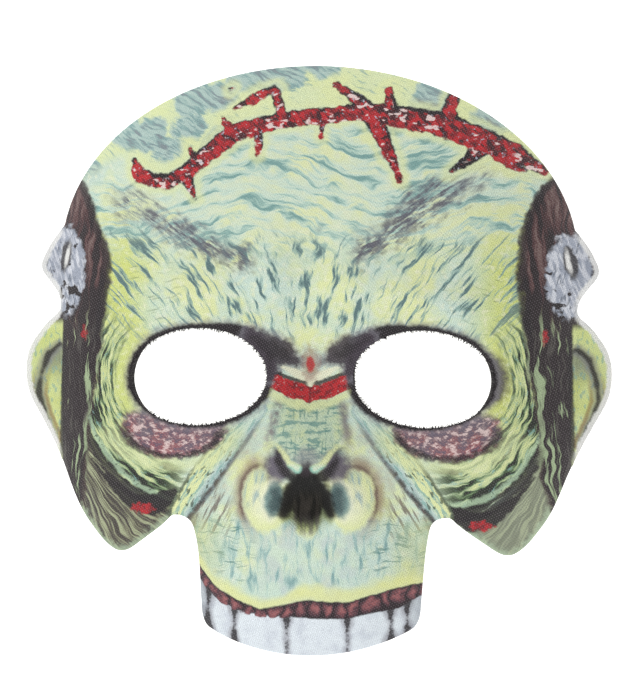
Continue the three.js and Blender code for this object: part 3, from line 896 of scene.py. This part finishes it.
def cheeks(p):
    """Wrinkles round the eyes, the dark band outside them, and the lobes' curved furrows."""
    x, y, s, drift, shake, ring = p.x, p.y, p.s, p.drift, p.shake, p.kept("ring")
    outer, turn = p.kept("outer_side"), p.kept("turn")
    about = outer * p.above(ring, 0.3, 0.12) * p.below(ring, 1.02, 0.05)
    way = ring * 24 + p.clouds(x, y, 13, 11) * 3 + shake * 0.5
    crease = p.strokes(way, turn * 0.6, 1.7, 13, 12, 2, 0.6) + p.above(ring, 0.7, 0.3) * 0.19
    p.lay("#d3dd9e", about * 0.75)
    p.lay("#9bb38a", about * p.above(crease, -0.02, 0.15) * 0.8)
    p.lay(MOSS, about * p.above(crease, 0.08, 0.07) * 0.95)
    p.lay("#1f201c", about * p.above(crease, 0.18, 0.07) * 0.95)
    p.lay(CREAM, about * p.below(crease, -0.26, 0.12) * 0.5)
    p.lay(TEAL, about * p.above(p.strokes(way, turn * 0.6, 1.4, 4, 13), 0.26, 0.12) * 0.7)

    curl = p.kept("lobe_fan") + p.kept("lobe_reach") * 0.2 + drift * 4
    furrows = p.strokes(curl, p.kept("lobe_reach"), 2, 22, 14, 2)
    lobe = p.above(ring + shake * 0.02, 1.08, 0.04) * p.below(y, -14, 6) * p.above(s, 40, 4)
    p.lay("#625d50", lobe * 0.9)
    p.lay("#b0b892", lobe * p.below(furrows, -0.1, 0.1) * 0.8)
    p.lay("#403a35", lobe * p.above(furrows + p.fine * 0.15, 0.03, 0.1) * 0.9)
    p.lay("#a3ae92", lobe * p.above(x, 0, 9) * 0.5)
    p.lay("#b9cfae", lobe * p.below(p.kept("rim") + shake * 2.5, 1.4, 1.2) * 0.6)
    band = p.between(ring + shake * 0.05 + drift * 0.05, 0.98, 1.14, 0.025) * p.kept("band_side")
    p.lay(NEAR_BLACK, band * p.above(furrows + shake * 0.4, -0.45, 0.3) * 0.92)
    pale_lip = p.between(ring + shake * 0.03 + drift * 0.04, 0.9, 0.975, 0.02) * p.kept("band_side")
    p.lay("#b5cfae", pale_lip * 0.7)
    nicks = p.strokes(turn + x * 0.4, ring * 30, 1.3, 2.4, 44, 2)
    p.lay(DARK_MOSS, pale_lip * p.above(nicks, 0.24, 0.1) * 0.7)
    wedge = p.kept("wedge") + shake
    p.lay("#a9cbbb", p.below(wedge, 1.7, 0.6) * p.below(y + s * 0.1, -54, 2) * 0.85)
    p.lay(NEAR_BLACK, p.below(wedge, 0, 0.5) * 0.95)


def temples(p):
    """Maroon brown over the lugs, running into black stripes with pale streaks down the sides."""
    x, y, s, drift, shake = p.x, p.y, p.s, p.drift, p.shake
    dark = p.above(p.kept("temple") + shake * 1.6 + drift * 2, 0, 1.4)
    stripes = p.strokes(s + y * 0.1 + drift * 2.5, y, 2.1, 22, 15, 3)
    p.lay(MAROON, dark)
    p.lay(NEAR_BLACK, dark * p.above(stripes + p.below(y, 22, 26) * 0.3, -0.02, 0.16) * 0.92)
    p.lay("#94807a", dark * p.above(y, 26, 8) * p.below(stripes + p.fine * 0.3, -0.25, 0.15) * 0.55)
    pale = dark * p.below(y, 14, 8)
    streaks = stripes + p.above(p.kept("temple"), 7, 3) * 0.14 - p.above(x, 0, 9) * 0.06
    p.lay("#a9bd94", pale * p.below(streaks, -0.16, 0.07) * 0.92)
    p.lay("#6d6a62", pale * p.below(p.strokes(s + drift * 2, y, 0.8, 14, 45, 2), -0.2, 0.1) * 0.4)
    edge = p.between(p.kept("temple") + shake, -0.6, 2.6, 0.8) * p.above(y, 6, 6)
    p.lay(NEAR_BLACK, edge * 0.8)
    sore = p.length((s - 78) * 1.4, (y - 8) * 0.6) + shake * 1.6
    p.lay(p.coat(RED, DARK_RED, p.above(p.fine, 0, 0.3)), p.below(sore, 1.4, 0.5) * 0.9)


def ears(p):
    """Yellow green ears with a dark inner curve, and torn grey shards on the lugs."""
    x, y, s, drift, shake = p.x, p.y, p.s, p.drift, p.shake
    ear = p.above(s + shake * 0.4, 86.6, 0.5) * p.between(y, -40, 12, 1.5)
    p.lay(p.coat("#dbe6a6", GLOW_YELLOW, p.above(drift, 0, 0.4) * 0.5), ear)
    inner_ear = ear * p.below(p.kept("ear_ward"), 0, 0.8)
    p.lay(SLATE, inner_ear * p.above(y + shake * 2, -5, 5) * 0.6)
    p.lay(TEAL, ear * p.above(p.strokes(s, y, 1.2, 3, 18), 0.2, 0.12) * 0.6)
    curve = p.kept("ear_curve") + shake * 0.4
    p.lay(GREY_VIOLET, ear * p.below(curve + drift, 0.9, 1) * 0.6)
    p.lay(NEAR_BLACK, ear * p.below(curve + drift * 1.4, -0.3, 0.6) * 0.88)
    p.lay("#8a5a32", ear * p.between(curve, 0.6, 1.9, 0.5) * p.below(y, -8, 6) * 0.6)
    seam = p.below(abs(s - 86 + shake * 0.5 + y * 0.03), 0.8, 0.5) * p.between(y, -34, 8, 3)
    p.lay(NEAR_BLACK, seam * 0.9)

    torn = p.below(p.kept("lug") + shake * 1.6 + drift, 0, 0.7)
    flake = p.clouds(x, y, 3.6, 39, 3) + p.above(y, 26, 4) * 0.3
    bone = p.coat("#a2a9b8", "#dfe2ea", p.above(p.strokes(x + y * 0.4, y - x, 1.4, 7, 19), 0.04, 0.2) * 0.85)
    bone = p.coat(bone, SLATE, p.above(p.strokes(x - y * 0.3, y + x, 1.2, 6, 40), 0.22, 0.12) * 0.7)
    hollow = p.kept("lug_hollow") + shake * 0.9
    p.lay(NEAR_BLACK, torn * 0.95)
    p.lay(bone, torn * p.above(flake, -0.04, 0.07))
    p.lay(NEAR_BLACK, torn * p.below(hollow, 0, 0.5) * 0.92)
    p.lay(WHITE, torn * p.below(p.kept("lug_core") + shake * 0.5, 0, 0.4) * 0.9)


def folds(p):
    """The bridge, and the pale folds that run from it down to the lobes."""
    y, s, shake = p.y, p.s, p.shake
    bridge = p.below(s, 11, 3) * p.between(y, -34, -13, 3)
    p.lay(PALE_MINT, bridge * p.above(p.drift + shake * 0.4, -0.1, 0.3) * 0.7)
    p.lay("#bccfa8", bridge * 0.55)
    p.lay("#6f9a92", bridge * p.above(p.strokes(p.y_wavy, p.x, 1.5, 5, 16, 3), 0.06, 0.12) * 0.85)
    p.lay(DEEP_TEAL, bridge * p.above(p.strokes(p.x, p.y_wavy, 1.1, 5, 51, 2), 0.2, 0.14) * 0.6)
    hollow = p.between(s + p.drift * 2 + (y + 20) * 0.15, 10.4, 13.4, 1.4) * p.between(y, -28, -13, 4)
    p.lay("#6b5a68", hollow * p.above(shake + p.fine * 0.4 + p.above(p.x, 0, 9) * 0.3, -0.1, 0.4) * 0.75)
    fold, run = p.kept("fold") + shake * 0.5, p.kept("fold_run")
    out = p.kept("fold_half") + shake * 0.6
    on_fold = p.below(out, 0, 0.8)
    p.lay(BONE_YELLOW, on_fold)
    p.lay(PALE_MINT, on_fold * p.most(p.below(run, 14, 8), p.below(fold, -0.8, 1)) * 0.9)
    p.lay("#a4bcc4", on_fold * p.below(fold, -1.6, 1) * 0.6)
    p.lay(TEAL, on_fold * p.above(p.strokes(fold, run, 1.1, 6, 20, 3), 0.08, 0.16) * 0.8)
    dashes = p.strokes(fold, run, 1.1, 3.2, 21, 1)
    p.lay(DARK_MOSS, on_fold * p.above(run, 12, 5) * p.above(dashes, 0.24, 0.08) * 0.75)
    under = p.between(out, -0.6, 0.9, 0.6) * p.below(fold, 0, 0.8)
    p.lay(SLATE, under * p.above(run + shake * 3, 5, 5) * 0.8)
    p.lay(NEAR_BLACK, under * p.above(shake + run / 60, 0.45, 0.2) * p.above(run, 14, 6) * 0.75)
    over = p.between(out, -0.5, 0.6, 0.4) * p.above(fold, 0, 0.8) * p.above(run, 16, 5)
    p.lay(DARK_MOSS, over * p.above(shake, -0.25, 0.2) * 0.75)
    shade = p.between(out, 0.5, 5, 2.5) * p.below(fold, 0, 0.8) * p.above(run, 4, 5)
    p.lay("#a0906f", shade * p.above(p.drift + shake * 0.5, 0, 0.4) * 0.5)
    crease = p.strokes(s + y * 0.5, y, 1.4, 9, 41, 2)
    by_fold = p.between(s, 27, 41, 3) * p.between(y, -60, -44, 3)
    p.lay("#6b5a55", by_fold * p.above(crease, 0.12, 0.12) * p.below(p.kept("fold"), -3, 1.5) * 0.8)


def eyes(p):
    """Wet red bags under the eye holes, and the holes' dark borders, heaviest at the inner corners."""
    y, drift, shake, fine = p.y, p.drift, p.shake, p.fine
    hole, turn = p.kept("hole"), p.kept("turn")
    bag = p.kept("bag") + shake * 1.4
    in_bag = p.below(bag, 0, 1) * p.below(y, -18, 2)
    p.lay("#dce6ae", p.between(bag, 0.5, 4.5, 1.5) * p.below(y, -24, 5) * 0.6)
    p.lay(p.coat("#9b515a", "#75606f", p.above(drift + shake * 0.4, 0.02, 0.3)), in_bag * 0.95)
    wet = p.strokes(hole, turn / 3, 1.5, 2.2, 22, 4, 0.65)
    p.lay(GLINT, in_bag * p.above(wet, 0.1, 0.12) * 0.8)
    p.lay("#6c6272", in_bag * p.below(wet, -0.08, 0.12) * 0.8)
    bag_edge = p.between(bag, -1.5, 0.5, 0.8) * p.below(y, -23, 3)
    p.lay(NEAR_BLACK, bag_edge * p.above(shake + fine * 0.4, -0.35, 0.3) * 0.85)
    border = p.kept("border") + shake * 0.7 + fine * 0.5
    p.lay("#463e4a", p.below(p.kept("shadow") + shake * 2 + fine * 1.2, -0.4, 2.2) * 0.9)
    p.lay(GREY_VIOLET, p.below(border + shake, 0.9, 1.3) * 0.6)
    p.lay(NEAR_BLACK, p.below(border, -0.1, 0.7))
    corner = p.kept("inner_corner") + shake * 1.6 + fine
    p.lay(GREY_VIOLET, p.below(corner + drift, 1.4, 1.2) * 0.6)
    p.lay("#3a303b", p.below(corner + drift, 0, 1) * 0.92)
    p.lay(NEAR_BLACK, p.below(corner, -2.4, 1.2) * 0.7)


def brow_knot(p):
    """Between the eyes: a pale wedge, a red drop and a red bar."""
    x, y, s, shake = p.x, p.y, p.s, p.shake
    p.lay(CREAM, p.below(p.kept("vee") + shake * 0.6, 0.1, 0.5) * 0.92)
    p.lay(BRICK, p.below(p.kept("drop") + shake * 2, 1.5, 1) * p.below(s, 6, 2) * 0.5)
    p.lay(RED, p.below(p.kept("drop") + shake * 0.5, -0.1, 0.4) * 0.9)
    ragged = shake * 0.8 + p.fine * 0.6
    bar_top, bar_foot = p.kept("bar_top") + ragged, p.kept("bar_foot") + ragged
    wide = p.below(s + ragged * 1.5 + (y + 9) * 0.25, 12.6, 1)
    p.lay(BONE_YELLOW, wide * p.between(bar_foot, -3, 0, 1.2) * 0.8)
    p.lay(NEAR_BLACK, wide * p.between(bar_top, -0.4, 1.3, 0.4) * p.above(s, 1, 1) * 0.9)
    bar = wide * p.above(bar_foot, 0, 0.3) * p.below(bar_top, 0, 0.3)
    blood = p.coat(RED, DARK_RED, p.above(p.clouds(x, y, 2, 24, 3), 0.08, 0.2) * 0.85)
    blood = p.coat(blood, GLINT, p.above(p.clouds(x, y, 1.2, 25, 2), 0.34, 0.12) * 0.6)
    blood = p.coat(blood, DARK_RED, p.below(s + shake * 0.5, 0.4, 0.4) * 0.8)
    p.lay(blood, bar)


def nose(p):
    """Pale wings round a black cavity with teal edges, and dark hooks beside the tip."""
    x, y, s, drift, shake = p.x, p.y, p.s, p.drift, p.shake
    wing, nostril = p.kept("nose_wing") + shake * 0.7, p.kept("nostril") + shake * 0.8 + p.fine * 0.3
    outward = p.above(s + y * 0.1, 10, 4)
    beyond_wing = p.between(wing, -0.8, 2.6, 1.4) * outward
    p.lay("#9c8468", beyond_wing * p.above(drift + shake * 0.4, -0.3, 0.4) * 0.8)
    p.lay(MAROON, p.between(wing, -0.1, 0.9, 0.6) * outward * p.above(drift, -0.3, 0.3) * 0.7)
    p.lay(BONE_YELLOW, p.below(wing, -0.8, 1))
    p.lay(CREAM, p.below(wing, -3, 2) * 0.6)
    wing_strokes = p.strokes(s + y * 0.2, y, 2, 8, 26, 2)
    p.lay("#93b3bb", p.below(wing, -1, 1) * p.above(y, -49, 4) * p.above(wing_strokes, 0.02, 0.2) * 0.75)
    smear = p.length(s - 9.8, (y + 36) * 0.75) + shake * 2
    p.lay("#62596a", p.below(smear, 4.4, 1.8) * 0.95)

    glow = p.kept("nostril_glow") + shake * 0.6
    p.lay(CREAM, p.between(glow, -0.3, 1.2, 0.8) * p.above(s, 10, 3) * 0.6)
    p.lay("#8aa9a3", p.below(glow, 0, 1))
    p.lay("#3c5152", p.below(glow + drift, -0.3, 1.2) * p.below(s + shake * 2, 13, 2.5) * 0.95)
    tip = p.below(p.length(x * 0.9, y + 33.4) + shake * 1.6, 4, 2)
    p.lay(GREY_VIOLET, tip * 0.6)
    dark = p.math("MINIMUM", nostril, p.kept("dark_hook") + shake * 0.8)
    low = p.between(y + shake, -59, -52.5, 2.5) * p.below(s, 5.4, 1.4)
    strip = p.below(nostril, 2.6, 1.8) * p.between(y + shake * 2, -57.5, -49.5, 1.6) * p.below(s, 8.4, 1.2)
    p.lay("#8b9a63", strip * 0.75)
    p.lay(NEAR_BLACK, p.below(dark + drift, 0, 1.2) * p.above(y + shake * 2, -55, 3) * 0.95)
    strands = p.strokes(x, y, 1.3, 9, 27, 2)
    p.lay("#5f5560", p.below(nostril, 0.8, 1) * low * p.above(strands, -0.1, 0.25) * 0.55)
    p.lay("#0c090b", p.below(nostril, -0.8, 1.5) * p.above(y + shake * 3, -52, 4) * 0.85)
    core = p.below(nostril, 0, 0.8) * p.below(s, 4.6, 1.4) * p.between(y, -54, -45, 3)
    p.lay("#4b453f", core * p.above(strands, 0.06, 0.2) * 0.5)
    notch = p.below(p.length(x * 0.8, (y + 36.4) * 0.8) + shake * 1.2, 1.9, 1.2)
    p.lay("#3a3238", notch * 0.85)
    hook = p.below(p.kept("pale_hook") + shake * 0.6, 0, 0.6)
    p.lay(p.coat(BONE_YELLOW, "#9fd0bd", p.below(y, -35.4, 1.2)), hook * 0.95)
    p.flat = p.above(nostril, 0.5, 2) * 0.8 + 0.2
    p.off_nose = p.above(nostril, 1, 1) * p.above(wing, -0.5, 1) * p.above(glow, 0.6, 0.6)
    p.lay(CREAM, p.below(p.kept("pale_hook") + shake * 0.4, -0.7, 0.4) * 0.6)


def lip_and_teeth(p):
    """Upright strokes over the lip, a gum of dark red beads, and teeth with dark gaps."""
    x, y, s, drift, shake = p.x, p.y, p.s, p.drift, p.shake
    gum_top, gum_foot = p.kept("gum_top"), p.kept("gum_foot")
    lip = p.below(y, -54, 3) * p.below(s, 40, 1) * p.off_nose
    high = lip * p.above(gum_top + drift * 3, 5.5, 2.5)
    p.lay(PALE_MINT, lip * p.below(s, 24, 10) * p.above(drift, -0.4, 0.4) * 0.8)
    p.lay(LILAC, lip * p.below(s, 18, 8) * p.above(p.clouds(x, y, 6, 28), 0.1, 0.25) * 0.35)
    upright = p.strokes(p.x_wavy, y, 2.1, 10, 29, 2) + p.fine * 0.1
    p.lay("#a2c6c1", high * p.above(upright, 0.12, 0.16) * 0.75)
    p.lay("#6a989c", high * p.above(upright, 0.3, 0.14) * 0.65)
    level = p.strokes(p.y_wavy, x, 1, 7, 30, 2)
    p.lay(DEEP_TEAL, high * p.above(s, 20, 6) * p.above(level, 0.2, 0.12) * 0.7)
    p.lay("#e9ec9c", lip * p.between(gum_top + drift * 3, -1, 3.6, 2) * 0.75)
    sides = lip * p.above(s + drift * 4, 30, 5) * p.above(gum_top, 3, 2)
    p.lay("#cfdba6", sides * 0.5)

    tooth = p.coat(TOOTH, LILAC, p.above(p.clouds(x, y, 5, 31, 3), 0.15, 0.3) * 0.45)
    gap = p.kept("tooth_gap") + shake * 0.7
    grown = p.most(gum_foot + 5, 0.0) * 0.3 + p.most(-6 - gum_foot, 0.0) * p.above(s, 20, 6) * 0.4
    tooth = p.coat(tooth, GREY_VIOLET, p.below(gap - grown + drift, 1.1, 0.9) * 0.55)
    tooth = p.coat(tooth, SLATE, p.above(s + shake, 35, 4) * 0.5)
    tooth = p.coat(tooth, NEAR_BLACK, p.below(gap - grown * 0.6 + p.fine, 0.3, 0.4) * 0.92)
    bead = p.length(p.comb(x + shake * 1.4 + drift * 7, 4.6), (gum_top + 2.6 + shake * 0.3) * 0.7)
    flesh = p.coat("#8c5458", "#4b3038", p.above(bead + p.fine * 1.6 + shake * 0.9, 1.25, 0.7))
    flesh = p.coat(flesh, "#ad6a6a", p.below(bead + shake * 1.6 + p.fine * 1.2, 0.5, 0.5) * 0.6)
    flesh = p.coat(flesh, NEAR_BLACK, p.above(bead + shake * 0.4, 2.05, 0.3) * 0.8)
    ragged = gum_top + shake * 0.5
    flesh = p.coat(flesh, NEAR_BLACK, p.above(ragged + shake * 0.6, -0.5, 0.6) * 0.65)
    p.lay(flesh, lip * p.below(ragged, 0, 0.4))
    p.lay(tooth, lip * p.below(gum_foot + shake * 0.5 + p.below(bead, 1.6, 0.5) * 0.7, 0, 0.35))


def gash(p):
    """A torn gash: a yellow edge, black lips, red flesh and pale glints."""
    x, y, shake, fine = p.x, p.y, p.shake, p.fine
    lips, core = p.kept("gash") + shake * 0.9, p.kept("gash_core") + shake
    p.lay(BONE_YELLOW, p.between(lips + p.drift * 2, 0, 2.4, 1.4) * 0.7)
    p.lay(NEAR_BLACK, p.below(lips + fine * 0.3, -0.1, 0.35))
    flesh = p.coat(RED, DARK_RED, p.above(p.clouds(x, y, 2.6, 32, 3), 0.06, 0.22) * 0.9)
    dark = p.strokes(x + y, x - y, 2.6, 6, 43, 2) + p.drift * 0.5
    flesh = p.coat(flesh, "#2c1a20", p.above(dark, 0.1, 0.1) * 0.9)
    flesh = p.coat(flesh, GLINT, p.above(p.clouds(x * 0.6, y, 1.8, 33, 2) + p.drift * 0.4, 0.28, 0.08) * 0.95)
    p.lay(flesh, p.below(core + fine * 0.4 + p.drift * 2.2, 0.45, 0.4))
    p.lay(LILAC, p.below(lips, -0.2, 0.3) * p.above(p.clouds(x, y, 1.3, 34, 2), 0.36, 0.08) * 0.8)


def raw_spots(p):
    """A raw red spot low on each cheek."""
    up = p.y + 51 + p.above(p.x, 0, 1) * RIGHT_DROP
    spot = p.length((p.s - 57) * 0.5, up) + p.shake * 1.8 + p.fine * 0.5
    p.lay(p.coat(RED, DARK_RED, p.above(p.fine + p.shake, 0, 0.4)), p.below(spot, 1.8, 0.5) * 0.95)


UPPER_LAYERS = [forehead, cheeks, temples, ears, eyes, brow_knot, gash]
LOWER_LAYERS = [cheeks, temples, ears, folds, eyes, brow_knot, nose, lip_and_teeth, raw_spots]


def printed_skin(name, layers):
    """The printed jersey, inked from the ground up."""
    p = Press(name)
    p.s = abs(p.x)
    p.drift = p.clouds(p.x, p.y, 9, 1)
    p.shake = p.clouds(p.x, p.y, 2.2, 2, 3)
    p.fine = p.clouds(p.x, p.y, 0.9, 5, 4, 0.7)
    p.x_wavy = p.x + p.clouds(p.x, p.y, 11, 3) * 3
    p.y_wavy = p.y + p.clouds(p.x, p.y, 11, 4) * 3
    p.flat = 1.0
    for layer in [ground] + layers:
        layer(p)

    # An unprinted hem round the ears and lugs, and the jersey's loops grinning through the dark inks
    hem = p.kept("rim") + p.fine * 0.7 + p.shake * 0.5
    p.lay(WHITE, p.below(hem, 1.7, 0.5) * p.above(p.s, 87.5, 1.5) * p.between(p.y, -42, 44, 3) * 0.92)
    wale = p.math("SINE", (p.x * 0.7 + p.y * 0.7) * (2 * np.pi / LOOP_WIDTH))
    course = p.math("SINE", (p.y * 0.9 - p.x * 0.4) * (2 * np.pi / LOOP_HEIGHT))
    loop = (wale + course) * 0.5
    p.lay("#a39ca2", p.above(loop + p.fine * 0.6, 0.45, 0.4) * p.flat * 0.26)
    p.lay("#64706a", p.below(loop + p.fine * 0.4, -0.45, 0.4) * p.flat * 0.2)
    return p.finish(p.skin, 0.85, p.bump(loop + p.fine * 0.4, 0.08), Specular_IOR_Level=0.25)


def make_jersey():
    pattern = cut_pattern(CLOTH_CELL)
    points = pattern[0]
    cloth = closed_wall("printed_jersey_face", pattern, at_depth(points, 0), at_depth(points, CLOTH_WALL),
                        CUT_ROUNDING)
    for name, values in print_fields(*points.T).items():
        paint(cloth, name, values)
    cloth.data.materials.append(printed_skin("printed_brow", UPPER_LAYERS))
    cloth.data.materials.append(printed_skin("printed_jaw", LOWER_LAYERS))
    for face in cloth.data.polygons:
        face.material_index = int(face.center.y < PRINT_SPLIT * METRE)
    return cloth


def make_foam():
    pattern = cut_pattern(FOAM_CELL)
    points = pattern[0]
    foam = closed_wall("white_foam_wall", pattern, at_depth(points, CLOTH_WALL + FOAM_CLEARANCE),
                       at_depth(points, FLANGE_TOP))
    paint(foam, "hole", -to_loop(np.abs(points[:, 0]), points[:, 1], EYES[0])[0])
    foam.data.materials.append(foam_skin())
    return foam


def make_studio(scene):
    """A white floor, an even white sky and three soft boxes."""
    mesh = bpy.data.meshes.new("studio_floor")
    half = FLOOR_SIZE / 2
    corners = [(x, y, -FLOOR_DROP) for x, y in ((-half, -half), (half, -half), (half, half), (-half, half))]
    mesh.from_pydata(corners, [], [(0, 1, 2, 3)])
    floor = bpy.data.objects.new("studio_floor", mesh)
    scene.collection.objects.link(floor)
    paper = Press("studio_paper")
    mesh.materials.append(paper.finish("#f7f7f5", 0.9, Emission_Color=(1, 1, 1, 1), Emission_Strength=0.6))

    world = bpy.data.worlds.new("studio_world")
    world.use_nodes = True
    sky = world.node_tree.nodes["Background"].inputs
    sky["Color"].default_value = (1, 1, 1, 1)
    sky["Strength"].default_value = DAYLIGHT
    scene.world = world

    for name, place, size, power in SOFT_BOXES:
        lamp = bpy.data.lights.new(name, "AREA")
        lamp.shape, lamp.size, lamp.energy = "DISK", size, power
        holder = bpy.data.objects.new(name, lamp)
        scene.collection.objects.link(holder)
        holder.location = place
        holder.rotation_euler = (Vector(LIGHT_TARGET) - Vector(place)).to_track_quat("-Z", "Y").to_euler()


def make_camera(scene):
    """A long lens over the mask, leaning and rolled by the photo's small angles."""
    lens = bpy.data.cameras.new("studio_camera")
    camera = bpy.data.objects.new("studio_camera", lens)
    scene.collection.objects.link(camera)
    back = Vector((np.sin(CAMERA_LEAN), 0, np.cos(CAMERA_LEAN)))
    rolled = Vector((np.cos(CAMERA_ROLL) * np.cos(CAMERA_LEAN), np.sin(CAMERA_ROLL),
                     -np.sin(CAMERA_LEAN) * np.cos(CAMERA_ROLL)))
    up = back.cross(rolled).normalized()
    camera.location = Vector(CAMERA_TARGET) + back * CAMERA_DISTANCE
    camera.rotation_euler = Matrix((up.cross(back), up, back)).transposed().to_euler()
    lens.sensor_fit = "VERTICAL"
    lens.sensor_height = SENSOR_HEIGHT
    lens.lens = SENSOR_HEIGHT * CAMERA_DISTANCE / SEEN_HEIGHT
    lens.clip_end = 20
    scene.camera = camera


cloth = make_jersey()
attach(cloth, "root")
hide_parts("printed_cloth")
foam = make_foam()
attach(foam, "root")
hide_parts("foam_shell")
fray = frayed_edge()
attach(fray, "root")

make_studio(bpy.context.scene)
make_camera(bpy.context.scene)
bpy.context.scene.view_settings.view_transform = "Standard"
